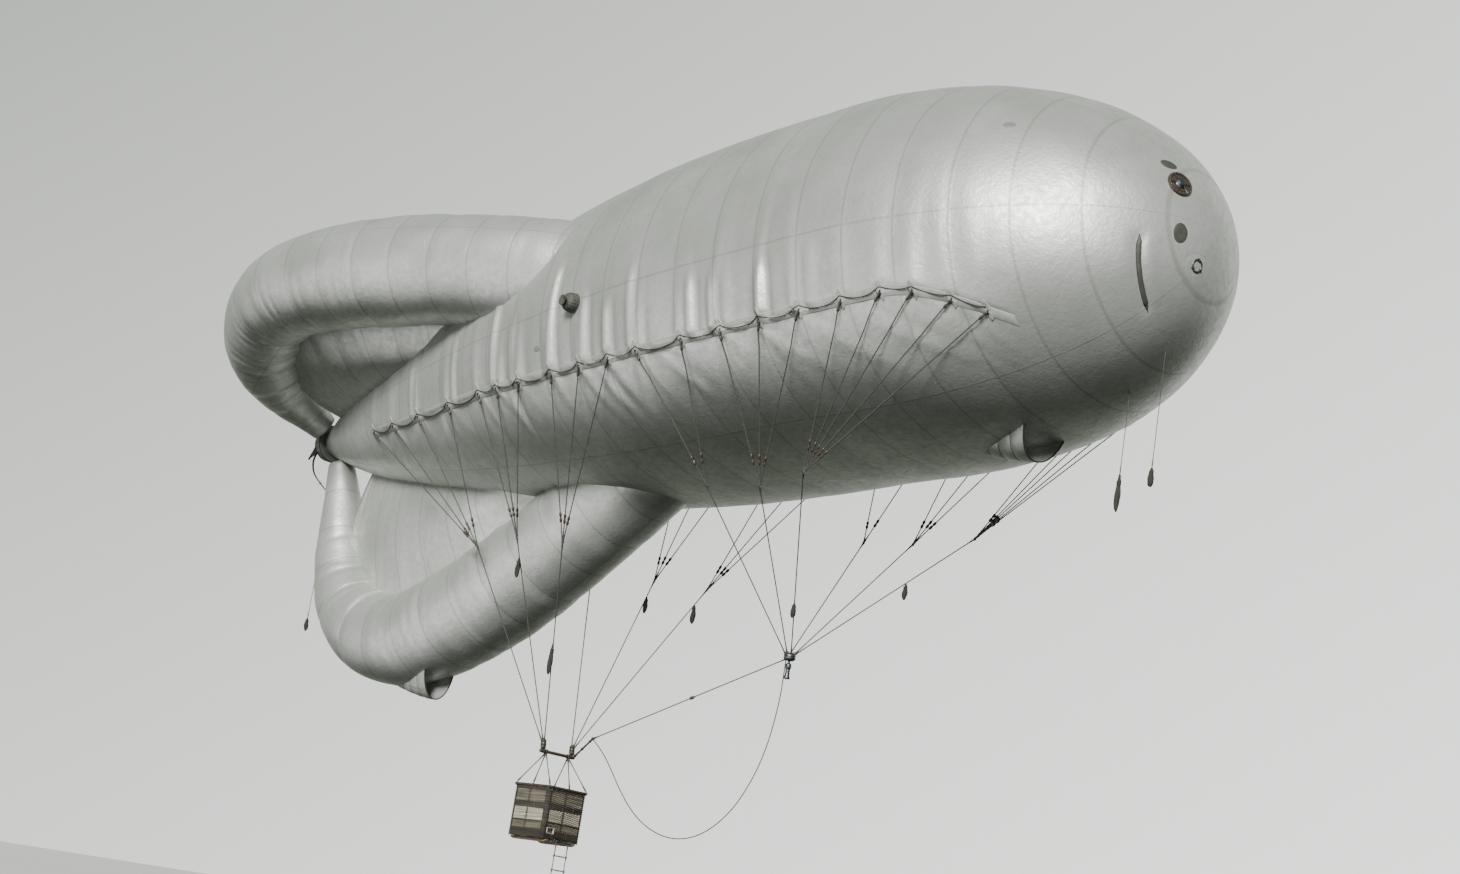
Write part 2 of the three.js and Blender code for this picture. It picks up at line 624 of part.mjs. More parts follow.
const wallHeight = basket.height + basket.floorThickness;
const wallBox = ringPrism(basket.length, basket.width, basket.wall, wallHeight)
  .translate(0, 0, floorTop - basket.floorThickness);
const step = new THREE.BoxGeometry(basket.wall * 4, foothold.width, foothold.height)
  .translate(basket.length / 2, foothold.offset, floorTop + foothold.above + foothold.height / 2);
add(car, 'basket_walls', cut(toSolid(wallBox), [toSolid(step)]), finishes.wicker);
const floorIn = 2 * (basket.wall + gap);
const floorBoard = new THREE.BoxGeometry(
  basket.length - floorIn,
  basket.width - floorIn,
  basket.floorThickness,
).translate(0, 0, floorTop - basket.floorThickness / 2);
add(car, 'basket_floor', floorBoard, finishes.ash);
const rimOut = 2 * basket.rimProud;
const rimRing = ringPrism(
  basket.length + rimOut,
  basket.width + rimOut,
  basket.rimRadius * 2,
  basket.rimRadius * 1.6,
).translate(0, 0, rimZ + gap);
const rimSolid = toSolid(rimRing);
add(car, 'basket_rim', rimSolid, finishes.leather);
for (const { name: side, sign } of sides) {
  const skid = new THREE.BoxGeometry(basket.length, basket.skidWidth, basket.skidHeight);
  const skidZ = floorTop - basket.floorThickness - gap - basket.skidHeight / 2;
  add(car, `basket_skid_${side}`, skid, finishes.ash, point(0, sign * basket.skidY, skidZ));
}

// Slings: a sleeve on the bar, and ropes to the rim's corners and middle
const rimCutter = toSolid(shifted(rimRing, gap));
for (const { name: side, sign } of sides) {
  const bore = (bar.radius + 2 * gap) / Math.cos(Math.PI / bar.sides);
  const sleeveRadius = bar.radius + sling.sleeveWall;
  const outer = new THREE.CylinderGeometry(sleeveRadius, sleeveRadius, sling.sleeveWidth, bar.sides);
  const hole = new THREE.CylinderGeometry(bore, bore, sling.sleeveWidth * 2, bar.sides);
  const y = sign * sling.sleeveY;
  const pieces = [outer.translate(0, y, 0)];
  for (const reach of [-1, 0, 1]) {
    const from = point(reach * sling.spread, y, -bar.radius - sling.sleeveWall / 2);
    const to = point(
      reach * (basket.length / 2 - sling.endIn),
      sign * (basket.width / 2 - sling.sideIn),
      rimZ + sling.eyeRise,
    );
    pieces.push(rod(from, to, sling.radius), ball(sling.eye, to));
  }
  const whole = cut(join(pieces), [toSolid(hole.translate(0, y, 0)), rimCutter]);
  add(car, `basket_sling_${side}`, mainBody(whole), finishes.rope);
}

// Rope ladder on a pin below the front wall
const pinAt = point(basket.length / 2 + ladder.pinReach, 0, floorTop - ladder.below);
const pinHalf = ladder.halfWidth + ladder.pinProud;
const pinRod = new THREE.CylinderGeometry(ladder.pin, ladder.pin, 2 * pinHalf, 16);
const pinPieces = [pinRod.translate(pinAt.x, 0, pinAt.z)];
for (const { sign } of sides) {
  const { pinReach, armWidth, armHeight, armInset, hangerLength, below } = ladder;
  const y = sign * (pinHalf - armInset);
  const arm = new THREE.BoxGeometry(pinReach - gap, armWidth, armHeight);
  const hanger = new THREE.BoxGeometry(hangerLength, armWidth, below);
  pinPieces.push(arm.translate(pinAt.x - (pinReach - gap) / 2, y, floorTop - armHeight / 2));
  pinPieces.push(hanger.translate(pinAt.x, y, floorTop - below / 2));
}
add(car, 'ladder_pin', join(pinPieces), finishes.steel);

const pinGroup = new THREE.Group();
pinGroup.position.copy(pinAt);
car.add(pinGroup);
const ladderPieces = [];
const pinBore = (ladder.pin + 2 * gap) / Math.cos(Math.PI / 16);
const ladderDrop = ladder.pitch * (ladder.rungs + 0.25);
const hubRadius = ladder.pin + ladder.hub;
for (const { sign } of sides) {
  const y = sign * ladder.halfWidth;
  const hub = new THREE.CylinderGeometry(hubRadius, hubRadius, ladder.hubWidth, 16);
  ladderPieces.push(hub.translate(0, y, 0));
  ladderPieces.push(rod(point(0, y, -ladder.pin - ladder.hub / 2), point(0, y, -ladderDrop), ladder.stile));
}
for (let i = 1; i <= ladder.rungs; i += 1) {
  const z = -i * ladder.pitch;
  const reach = ladder.halfWidth + ladder.rungProud;
  ladderPieces.push(rod(point(0, -reach, z), point(0, reach, z), ladder.rung, 6));
}
const pinHole = new THREE.CylinderGeometry(pinBore, pinBore, 4 * ladder.halfWidth, 16);
add(pinGroup, 'rope_ladder', cut(join(ladderPieces), [toSolid(pinHole)]), finishes.rope);

export default group;
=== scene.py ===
# Kite balloon with a manned basket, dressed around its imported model
# Metres, +X towards the nose, +Y to port, +Z up
import math
import random

import bpy
import numpy as np
from mathutils import Matrix, Vector, noise


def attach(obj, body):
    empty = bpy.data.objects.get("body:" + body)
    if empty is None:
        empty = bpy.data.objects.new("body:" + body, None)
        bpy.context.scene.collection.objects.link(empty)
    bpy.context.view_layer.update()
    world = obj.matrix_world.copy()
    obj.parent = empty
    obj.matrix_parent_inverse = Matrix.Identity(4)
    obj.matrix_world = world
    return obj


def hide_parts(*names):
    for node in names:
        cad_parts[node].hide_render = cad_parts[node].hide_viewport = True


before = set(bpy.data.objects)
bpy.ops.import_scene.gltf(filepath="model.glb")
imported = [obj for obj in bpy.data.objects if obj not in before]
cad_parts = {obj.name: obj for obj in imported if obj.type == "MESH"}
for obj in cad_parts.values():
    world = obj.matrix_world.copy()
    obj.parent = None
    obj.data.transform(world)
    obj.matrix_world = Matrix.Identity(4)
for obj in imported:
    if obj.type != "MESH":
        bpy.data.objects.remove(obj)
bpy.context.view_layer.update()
print("frame loaded")

# Camera: fitted to the photograph, at floor level, looking up
photo = {"width": 1460, "height": 874, "sensor": 36.0}
view = {"azimuth": 42.86, "elevation": -15.21, "roll": 8.68, "distance": 48.01,
        "pixelsPerMetre": 48.89, "originX": 812.2, "originY": 330.4}


def placeCamera():
    a, e, roll = (math.radians(view[k]) for k in ("azimuth", "elevation", "roll"))
    back = Vector((math.sin(a) * math.cos(e), -math.cos(a) * math.cos(e), math.sin(e)))
    side = Vector((math.cos(a), math.sin(a), 0))
    rise = back.cross(side)
    right = side * math.cos(roll) + rise * math.sin(roll)
    up = rise * math.cos(roll) - side * math.sin(roll)
    focal = view["pixelsPerMetre"] * view["distance"]
    offX = view["originX"] - photo["width"] / 2
    offY = photo["height"] / 2 - view["originY"]
    look = (-back * focal - right * offX - up * offY).normalized()
    right = (right - look * right.dot(look)).normalized()
    up = right.cross(look)
    eye = back * view["distance"]
    focalPixels = view["pixelsPerMetre"] * (-eye).dot(look)
    data = bpy.data.cameras.new("camera")
    data.sensor_width = photo["sensor"]
    data.lens = focalPixels / photo["width"] * photo["sensor"]
    data.clip_end = 3000
    camera = bpy.data.objects.new("camera", data)
    camera.matrix_world = Matrix((
        (right.x, up.x, -look.x, eye.x),
        (right.y, up.y, -look.y, eye.y),
        (right.z, up.z, -look.z, eye.z),
        (0, 0, 0, 1),
    ))
    bpy.context.scene.collection.objects.link(camera)
    bpy.context.scene.camera = camera


placeCamera()
print("camera placed")


# Colours and nodes
def toLinear(hexCode):
    parts = [int(hexCode[i:i + 2], 16) / 255 for i in (0, 2, 4)]
    linear = [p / 12.92 if p <= 0.04045 else ((p + 0.055) / 1.055) ** 2.4 for p in parts]
    return (*linear, 1.0)


def addNode(tree, kind, inputs=None, **settings):
    node = tree.nodes.new(kind)
    for key, value in settings.items():
        setattr(node, key, value)
    for key, value in (inputs or {}).items():
        if isinstance(value, bpy.types.NodeSocket):
            tree.links.new(value, node.inputs[key])
        else:
            node.inputs[key].default_value = value
    return node


def newFinish(name, **values):
    material = bpy.data.materials.new(name)
    material.use_nodes = True
    shader = material.node_tree.nodes["Principled BSDF"]
    for key, value in values.items():
        shader.inputs[key.replace("_", " ")].default_value = value
    return material, material.node_tree, shader


# Aluminium-doped rubberised cotton: a soft metallic sheen over cloth, cloudy where the dope is thin
fabricLook = {"bright": "c8cbc5", "thin": "b4b7b0", "stain": "9b9e96", "seam": "8f928a",
              "seamPitch": 1.02, "gorePitch": 2.05}


def silveredFabric():
    material, tree, shader = newFinish("aluminiumDopedCotton", Metallic=0.6, Roughness=0.44, IOR=1.5)
    place = addNode(tree, "ShaderNodeTexCoord").outputs["Object"]
    clouds = addNode(tree, "ShaderNodeTexNoise", {"Vector": place, "Scale": 0.55, "Detail": 5.0,
                                                  "Roughness": 0.62})
    mottle = addNode(tree, "ShaderNodeTexNoise", {"Vector": place, "Scale": 7.0, "Detail": 6.0,
                                                  "Roughness": 0.7})
    cloudy = addNode(tree, "ShaderNodeMapRange", {0: clouds.outputs[0], 1: 0.36, 2: 0.68})
    spotty = addNode(tree, "ShaderNodeMapRange", {0: mottle.outputs[0], 1: 0.4, 2: 0.75, 3: 0.0, 4: 0.55})
    dope = addNode(tree, "ShaderNodeMix", {
        0: cloudy.outputs[0], 6: toLinear(fabricLook["bright"]), 7: toLinear(fabricLook["thin"])},
        data_type="RGBA")
    spotted = addNode(tree, "ShaderNodeMix", {
        0: spotty.outputs[0], 6: dope.outputs[2], 7: toLinear(fabricLook["stain"])}, data_type="RGBA")
    # Seams where one width of cloth meets the next, drawn from the metre map of the skin
    metres = addNode(tree, "ShaderNodeUVMap", uv_map="metres")
    split = addNode(tree, "ShaderNodeSeparateXYZ", {0: metres.outputs[0]})
    around = addNode(tree, "ShaderNodeMath", {0: split.outputs[0], 1: fabricLook["gorePitch"]},
                     operation="PINGPONG")
    along = addNode(tree, "ShaderNodeMath", {0: split.outputs[1], 1: fabricLook["seamPitch"] / 2},
                    operation="PINGPONG")
    goreLine = addNode(tree, "ShaderNodeMapRange", {0: around.outputs[0], 1: 0.012, 2: 0.03, 3: 1.0, 4: 0.0})
    hoopLine = addNode(tree, "ShaderNodeMapRange", {0: along.outputs[0], 1: 0.012, 2: 0.035, 3: 1.0, 4: 0.0})
    lines = addNode(tree, "ShaderNodeMath", {0: goreLine.outputs[0], 1: hoopLine.outputs[0]},
                    operation="MAXIMUM")
    faint = addNode(tree, "ShaderNodeMath", {0: lines.outputs[0], 1: 0.45}, operation="MULTIPLY")
    coloured = addNode(tree, "ShaderNodeMix", {
        0: faint.outputs[0], 6: spotted.outputs[2], 7: toLinear(fabricLook["seam"])}, data_type="RGBA")
    tree.links.new(coloured.outputs[2], shader.inputs["Base Color"])
    rough = addNode(tree, "ShaderNodeMapRange", {0: mottle.outputs[0], 1: 0.3, 2: 0.8, 3: 0.4, 4: 0.58})
    tree.links.new(rough.outputs[0], shader.inputs["Roughness"])
    # Crinkles of slack cloth, about 90 mm apart, and puckers about 25 mm apart
    crinkle = addNode(tree, "ShaderNodeTexNoise", {"Vector": place, "Scale": 11.0, "Detail": 3.0,
                                                   "Distortion": 0.6})
    pucker = addNode(tree, "ShaderNodeTexNoise", {"Vector": place, "Scale": 38.0, "Detail": 2.0})
    height = addNode(tree, "ShaderNodeMath", {0: pucker.outputs[0], 1: 0.3, 2: crinkle.outputs[0]},
                     operation="MULTIPLY_ADD")
    raised = addNode(tree, "ShaderNodeMath", {0: lines.outputs[0], 1: 0.25, 2: height.outputs[0]},
                     operation="MULTIPLY_ADD")
    bump = addNode(tree, "ShaderNodeBump", {"Height": raised.outputs[0], "Strength": 0.5, "Distance": 0.012})
    tree.links.new(bump.outputs[0], shader.inputs["Normal"])
    return material


fabric = silveredFabric()


# Proofed cotton tape: the same dope over a doubled edge, duller and a little darker
def dopedTape(name, pale, worn):
    material, tree, shader = newFinish(name, Metallic=0.25, Roughness=0.62)
    place = addNode(tree, "ShaderNodeTexCoord").outputs["Object"]
    wear = addNode(tree, "ShaderNodeTexNoise", {"Vector": place, "Scale": 9.0, "Detail": 5.0})
    mix = addNode(tree, "ShaderNodeMix", {0: wear.outputs[0], 6: toLinear(pale), 7: toLinear(worn)},
                  data_type="RGBA")
    tree.links.new(mix.outputs[2], shader.inputs["Base Color"])
    bump = addNode(tree, "ShaderNodeBump", {"Height": wear.outputs[0], "Strength": 0.4, "Distance": 0.004})
    tree.links.new(bump.outputs[0], shader.inputs["Normal"])
    return material


tape = dopedTape("proofedCottonTape", "8d9088", "62655d")
paleTape = dopedTape("dopedCottonStrip", "b4b7b0", "8e9189")
# Dark proofed cotton for patches, sleeve, flap and strap; on the rip panel edge it also paints the slit's
# shade
darkTape = dopedTape("perishedCottonAndPaintedSlitShade", "565950", "2f312b")


# Tarred hemp, laid in three strands: dark, fibrous, no shine. The lay itself is in the mesh
def tarredHemp(name, dark, light):
    material, tree, shader = newFinish(name, Roughness=0.86, IOR=1.5)
    place = addNode(tree, "ShaderNodeTexCoord").outputs["Object"]
    fibre = addNode(tree, "ShaderNodeTexNoise", {"Vector": place, "Scale": 60.0, "Detail": 4.0})
    mix = addNode(tree, "ShaderNodeMix", {0: fibre.outputs[0], 6: toLinear(dark), 7: toLinear(light)},
                  data_type="RGBA")
    tree.links.new(mix.outputs[2], shader.inputs["Base Color"])
    bump = addNode(tree, "ShaderNodeBump", {"Height": fibre.outputs[0], "Strength": 0.6, "Distance": 0.003})
    tree.links.new(bump.outputs[0], shader.inputs["Normal"])
    return material


hemp = tarredHemp("tarredHempRope", "23241f", "585850")
darkHemp = tarredHemp("wetHempHank", "1b1c17", "3c3b31")


# Varnished ash: long open grain about 8 mm apart, with a warm coat
def varnishedAsh(name, dark, light):
    material, tree, shader = newFinish(name, Roughness=0.42, IOR=1.52, Coat_Weight=0.25, Coat_Roughness=0.3)
    place = addNode(tree, "ShaderNodeTexCoord").outputs["Object"]
    stretched = addNode(tree, "ShaderNodeMapping", {"Vector": place, "Scale": (1.2, 12.0, 12.0)})
    grain = addNode(tree, "ShaderNodeTexNoise", {"Vector": stretched.outputs[0], "Scale": 9.0,
                                                 "Detail": 6.0, "Distortion": 1.2})
    mix = addNode(tree, "ShaderNodeMix", {0: grain.outputs[0], 6: toLinear(dark), 7: toLinear(light)},
                  data_type="RGBA")
    tree.links.new(mix.outputs[2], shader.inputs["Base Color"])
    bump = addNode(tree, "ShaderNodeBump", {"Height": grain.outputs[0], "Strength": 0.3, "Distance": 0.002})
    tree.links.new(bump.outputs[0], shader.inputs["Normal"])
    return material


ash = varnishedAsh("varnishedAsh", "4d3f2c", "9b8560")
darkAsh = varnishedAsh("tarredAsh", "1c1812", "4c4032")


# Peeled and boiled willow: each rod its own shade, satin where the skin was
def willow(name, dark, light):
    material, tree, shader = newFinish(name, Roughness=0.55, IOR=1.48)
    place = addNode(tree, "ShaderNodeTexCoord").outputs["Object"]
    rods = addNode(tree, "ShaderNodeMapping", {"Vector": place, "Scale": (1.0, 1.0, 40.0)})
    shade = addNode(tree, "ShaderNodeTexNoise", {"Vector": rods.outputs[0], "Scale": 1.3, "Detail": 3.0})
    spread = addNode(tree, "ShaderNodeMapRange", {0: shade.outputs[0], 1: 0.35, 2: 0.65})
    mix = addNode(tree, "ShaderNodeMix", {0: spread.outputs[0], 6: toLinear(dark), 7: toLinear(light)},
                  data_type="RGBA")
    tree.links.new(mix.outputs[2], shader.inputs["Base Color"])
    fine = addNode(tree, "ShaderNodeTexNoise", {"Vector": place, "Scale": 220.0, "Detail": 2.0})
    bump = addNode(tree, "ShaderNodeBump", {"Height": fine.outputs[0], "Strength": 0.3, "Distance": 0.001})
    tree.links.new(bump.outputs[0], shader.inputs["Normal"])
    return material


buffWillow = willow("buffWillow", "908974", "d2cbb6")
paleWillow = willow("weatheredWillow", "504b3e", "8a8370")
brownWillow = willow("brownWillow", "1f1d17", "464136")


# Oiled hide: a pebbled grain about 3 mm apart, drawn at 8 mm so that it shows, dark in the hollows
def oiledHide():
    material, tree, shader = newFinish("oiledHide", Roughness=0.55, IOR=1.5)
    place = addNode(tree, "ShaderNodeTexCoord").outputs["Object"]
    pebble = addNode(tree, "ShaderNodeTexVoronoi", {"Vector": place, "Scale": 120.0})
    mix = addNode(tree, "ShaderNodeMix", {0: pebble.outputs[0], 6: toLinear("241d15"), 7: toLinear("4a3c2b")},
                  data_type="RGBA")
    tree.links.new(mix.outputs[2], shader.inputs["Base Color"])
    bump = addNode(tree, "ShaderNodeBump", {"Height": pebble.outputs[0], "Strength": 0.35, "Distance": 0.002})
    tree.links.new(bump.outputs[0], shader.inputs["Normal"])
    return material


hide = oiledHide()


# Hot-dip galvanised steel: crystal spangle about 10 mm across, dulled by weather
def galvanisedSteel():
    material, tree, shader = newFinish("galvanisedSteel", Metallic=1.0, Roughness=0.48)
    place = addNode(tree, "ShaderNodeTexCoord").outputs["Object"]
    spangle = addNode(tree, "ShaderNodeTexVoronoi", {"Vector": place, "Scale": 90.0})
    mix = addNode(tree, "ShaderNodeMix", {
        0: spangle.outputs[0], 6: toLinear("74787a"), 7: toLinear("4b4f50")}, data_type="RGBA")
    tree.links.new(mix.outputs[2], shader.inputs["Base Color"])
    rough = addNode(tree, "ShaderNodeMapRange", {0: spangle.outputs[0], 1: 0.0, 2: 1.0, 3: 0.36, 4: 0.6})
    tree.links.new(rough.outputs[0], shader.inputs["Roughness"])
    return material


steel = galvanisedSteel()


# Vulcanised rubber sheath: nearly black, a faint bloom, soft highlights
def vulcanisedRubber():
    material, tree, shader = newFinish("vulcanisedRubber", Roughness=0.5, IOR=1.52)
    place = addNode(tree, "ShaderNodeTexCoord").outputs["Object"]
    bloom = addNode(tree, "ShaderNodeTexNoise", {"Vector": place, "Scale": 14.0, "Detail": 4.0})
    mix = addNode(tree, "ShaderNodeMix", {0: bloom.outputs[0], 6: toLinear("1d1e1c"), 7: toLinear("3a3b37")},
                  data_type="RGBA")
    tree.links.new(mix.outputs[2], shader.inputs["Base Color"])
    return material


rubber = vulcanisedRubber()
print("finishes made")

# Shapes shared by the pieces
noseUp = math.radians(7)
bodyTurn = np.array([
    [math.cos(noseUp), 0, -math.sin(noseUp)], [0, 1, 0], [math.sin(noseUp), 0, math.cos(noseUp)]])
upward = np.array([0, 0, 1.0])


def inFlight(points):
    return np.asarray(points, float) @ bodyTurn.T


def unit(vector):
    vector = np.asarray(vector, float)
    return vector / np.linalg.norm(vector)


def crossAxes(axis):
    helper = np.array([1.0, 0, 0]) if abs(axis[0]) < 0.9 else np.array([0, 1.0, 0])
    first = unit(np.cross(axis, helper))
    return first, np.cross(axis, first)


def turnsOf(sides):
    return np.arange(sides) / sides * 2 * math.pi


def runningLength(route):
    return np.concatenate([[0], np.cumsum(np.linalg.norm(np.diff(route, axis=0), axis=1))])


def pointsAlong(route, lengths, at):
    return np.stack([np.interp(at, lengths, column) for column in route.T], -1)


def gridFaces(rows, columns, closed=True, ends=None):
    # Quads over rows of points. Ends: "loop" joins the last row to the first, "flat" closes each with one
    # face, "fan" with triangles to two points that come after the grid
    across = columns if closed else columns - 1
    i, j = np.meshgrid(np.arange(rows if ends == "loop" else rows - 1), np.arange(across), indexing="ij")
    nextI, nextJ = (i + 1) % rows * columns, (j + 1) % columns
    faces = np.stack([i * columns + j, i * columns + nextJ, nextI + nextJ, nextI + j], -1)
    faces = faces.reshape(-1, 4).tolist()
    last, centre = (rows - 1) * columns, rows * columns
    if ends == "fan":
        for k in range(columns):
            faces += [[k, centre, (k + 1) % columns], [last + k, last + (k + 1) % columns, centre + 1]]
    if ends == "flat":
        faces += [list(range(columns)), [last + k for k in reversed(range(columns))]]
    return faces


def clothFaces(rows, columns):
    # Faces of doubled cloth: the grid, the same grid behind it, and a strip that closes the edge
    count = rows * columns
    faces = gridFaces(rows, columns, closed=False)
    faces += [[count + k for k in reversed(face)] for face in faces]
    edge = ([k for k in range(columns)] + [r * columns + columns - 1 for r in range(1, rows)]
            + [count - 1 - k for k in range(1, columns)] + [r * columns for r in range(rows - 2, 0, -1)])
    return faces + [[a, count + a, count + b, b] for a, b in zip(edge, edge[1:] + edge[:1])]


def withEnds(rings):
    # The points of a grid, then the middle of its first row and of its last, for the fans
    return np.vstack([rings.reshape(-1, 3), rings[0].mean(0)[None], rings[-1].mean(0)[None]])


def addPiece(name, parts, materials, body, replaces=(), metres=None, sharp=None):
    # Each part is points, faces and, where the piece has several finishes, the finish of all or of each face
    points, faces, marks = [], [], []
    start = 0
    for part in parts:
        shape, shapeFaces = part[0], part[1]
        finishIndex = part[2] if len(part) > 2 else 0
        points.append(np.asarray(shape, float))
        faces += [[start + k for k in face] for face in shapeFaces]
        marks += finishIndex if isinstance(finishIndex, list) else [finishIndex] * len(shapeFaces)
        start += len(shape)
    mesh = bpy.data.meshes.new(name)
    mesh.from_pydata(np.vstack(points).tolist(), [], faces)
    for material in materials if isinstance(materials, (list, tuple)) else [materials]:
        mesh.materials.append(material)
    mesh.polygons.foreach_set("material_index", marks)
    mesh.polygons.foreach_set("use_smooth", [True] * len(faces))
    if metres is not None:
        layer = mesh.uv_layers.new(name="metres")
        corner = np.empty(len(mesh.loops), dtype=np.int32)
        mesh.loops.foreach_get("vertex_index", corner)
        layer.data.foreach_set("uv", np.asarray(metres, np.float32)[corner].ravel())
    mesh.validate()
    mesh.update()
    if sharp is not None:
        mesh.set_sharp_from_angle(angle=math.radians(sharp))
    piece = bpy.data.objects.new(name, mesh)
    bpy.context.scene.collection.objects.link(piece)
    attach(piece, body)
    if replaces:
        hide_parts(*replaces)
    return piece


def smoothRoute(points, count):
    # Centripetal Catmull-Rom through the points, sampled at even lengths
    knots = np.asarray(points, float)
    around = np.vstack([2 * knots[0] - knots[1], knots, 2 * knots[-1] - knots[-2]])
    dense = []
    for k in range(len(knots) - 1):
        p0, p1, p2, p3 = around[k:k + 4]
        d0, d1, d2 = (max(1e-4, float(np.sum((b - a) ** 2))) ** 0.25
                      for a, b in ((p0, p1), (p1, p2), (p2, p3)))
        m1 = ((p1 - p0) / d0 - (p2 - p0) / (d0 + d1) + (p2 - p1) / d1) * d1
        m2 = ((p2 - p1) / d1 - (p3 - p1) / (d1 + d2) + (p3 - p2) / d2) * d1
        t = np.linspace(0, 1, 40, endpoint=k == len(knots) - 2)[:, None]
        dense.append(p1 + m1 * t + (3 * (p2 - p1) - 2 * m1 - m2) * t ** 2
                     + (2 * (p1 - p2) + m1 + m2) * t ** 3)
    dense = np.vstack(dense)
    length = runningLength(dense)
    return pointsAlong(dense, length, np.linspace(0, length[-1], count))


def straight(start, end, count):
    share = np.linspace(0, 1, count)[:, None]
    return np.asarray(start, float) * (1 - share) + np.asarray(end, float) * share


def tube(route, radius, sides=8, strands=0, lay=0.16, depth=0.16):
    # A closed tube; with strands it is a laid rope that turns once in each lay length
    route = np.asarray(route, float)
    count = len(route)
    along = np.gradient(route, axis=0)
    along /= np.linalg.norm(along, axis=1)[:, None]
    helper = upward if abs(along[0][2]) < 0.9 else np.array([1.0, 0, 0])
    side = unit(np.cross(along[0], helper))
    sidesAt = []
    for k in range(count):
        side = unit(side - along[k] * side.dot(along[k]))
        sidesAt.append(side)
    first = np.array(sidesAt)
    second = np.cross(along, first)
    turn = turnsOf(sides)
    radii = np.broadcast_to(np.asarray(radius, float), (count,))[:, None] * np.ones((1, sides))
    if strands:
        twist = turn - 2 * math.pi * runningLength(route)[:, None] / lay
        radii = radii * (1 - depth + depth * np.abs(np.cos(strands / 2 * twist)))
    rings = (route[:, None] + first[:, None] * (radii * np.cos(turn))[..., None]
             + second[:, None] * (radii * np.sin(turn))[..., None])
    return np.vstack([rings.reshape(-1, 3), route[:1], route[-1:]]), gridFaces(count, sides, ends="fan")


def turned(profile, centre, axis=(0, 0, 1), sides=24):
    # A lathe shape: profile rows are radius, height along the axis
    rows = np.asarray(profile, float)
    axis = unit(axis)
    first, second = crossAxes(axis)
    turn = turnsOf(sides)[:, None]
    spin = first[None] * np.cos(turn) + second[None] * np.sin(turn)
    rings = np.asarray(centre, float) + rows[:, 0, None, None] * spin[None] + rows[:, 1, None, None] * axis
    return withEnds(rings), gridFaces(len(rows), sides, ends="fan")


def roundBox(centre, size, bevel, turn=None):
    # A box with its edges rounded, as three stacked outlines at each end with 16 points each
    size = np.asarray(size, float) / 2
    bevel = min(bevel, *(size * 0.95))
    rings = []
    for inset, height in ((bevel, -size[2]), (bevel * 0.3, -size[2] + bevel * 0.3), (0, -size[2] + bevel),
                          (0, size[2] - bevel), (bevel * 0.3, size[2] - bevel * 0.3), (bevel, size[2])):
        ring = []
        for cornerX, cornerY, startTurn in ((1, 1, 0), (-1, 1, 90), (-1, -1, 180), (1, -1, 270)):
            for step in (0, 30, 60, 90):
                t = math.radians(startTurn + step)
                ring.append((cornerX * (size[0] - bevel) + (bevel - inset) * math.cos(t),
                             cornerY * (size[1] - bevel) + (bevel - inset) * math.sin(t), height))
        rings.append(ring)
    points = np.array(rings).reshape(-1, 3)
    if turn is not None:
        points = points @ np.asarray(turn, float).T
    faces = gridFaces(len(rings), 16)
    faces.append(list(range(15, -1, -1)))
    faces.append([(len(rings) - 1) * 16 + k for k in range(16)])
    return points + np.asarray(centre, float), faces


# Telephone cord, hanging free from the mooring plate to the bar's toggle
plate = {"x": -0.1, "z": -6.8, "height": 0.15, "eyeCircle": 0.074, "eyeRise": 0.03, "firstEye": 150,
         "eyeStep": 60, "linkX": -0.06, "linkZ": -0.02}
bar = {"x": -6.5, "z": -8.3, "radius": 0.036, "halfLength": 0.5}
horn = {"x": 0.56, "z": 0.37, "y": 0.47, "radius": 0.024, "knob": 0.036,
        "whippings": [0.06, 0.075, 0.09, 0.3, 0.315, 0.33, 0.57, 0.585]}
cordWire = {"radius": 0.011, "points": 220}
cordRoute = [
    [-0.092, 0, 0], [-0.094, 0.004, -0.18], [-0.104, 0.016, -0.42], [-0.132, 0.038, -0.76],
    [-0.2, 0.06, -1.18], [-0.31, 0.085, -1.64], [-0.48, 0.11, -2.1], [-0.72, 0.14, -2.54],
    [-1.04, 0.18, -2.95], [-1.44, 0.225, -3.29], [-1.9, 0.27, -3.54], [-2.4, 0.315, -3.67],
    [-2.9, 0.355, -3.68], [-3.38, 0.39, -3.58], [-3.83, 0.415, -3.39], [-4.24, 0.44, -3.12],
    [-4.6, 0.455, -2.79], [-4.92, 0.465, -2.45], [-5.23, 0.47, -2.13],
]
plateCentre = inFlight([plate["x"], 0, plate["z"]])
hornTip = inFlight([bar["x"] + horn["x"], horn["y"], bar["z"] + horn["z"]])


def telephoneCord():
    top = plateCentre - np.array([0, 0, plate["height"] / 4])
    route = smoothRoute([top + np.array(step) for step in cordRoute] + [hornTip], cordWire["points"])
    curve = bpy.data.curves.new("telephone_line", "CURVE")
    curve.dimensions = "3D"
    curve.bevel_depth = cordWire["radius"]
    curve.bevel_resolution = 3
    curve.use_fill_caps = True
    spline = curve.splines.new("POLY")
    spline.points.add(len(route) - 1)
    spline.points.foreach_set("co", np.hstack([route, np.ones((len(route), 1))]).ravel())
    curve.materials.append(rubber)
    piece = bpy.data.objects.new("telephone_line", curve)
    bpy.context.scene.collection.objects.link(piece)
    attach(piece, "balloon")
    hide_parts("telephone_cord")


telephoneCord()

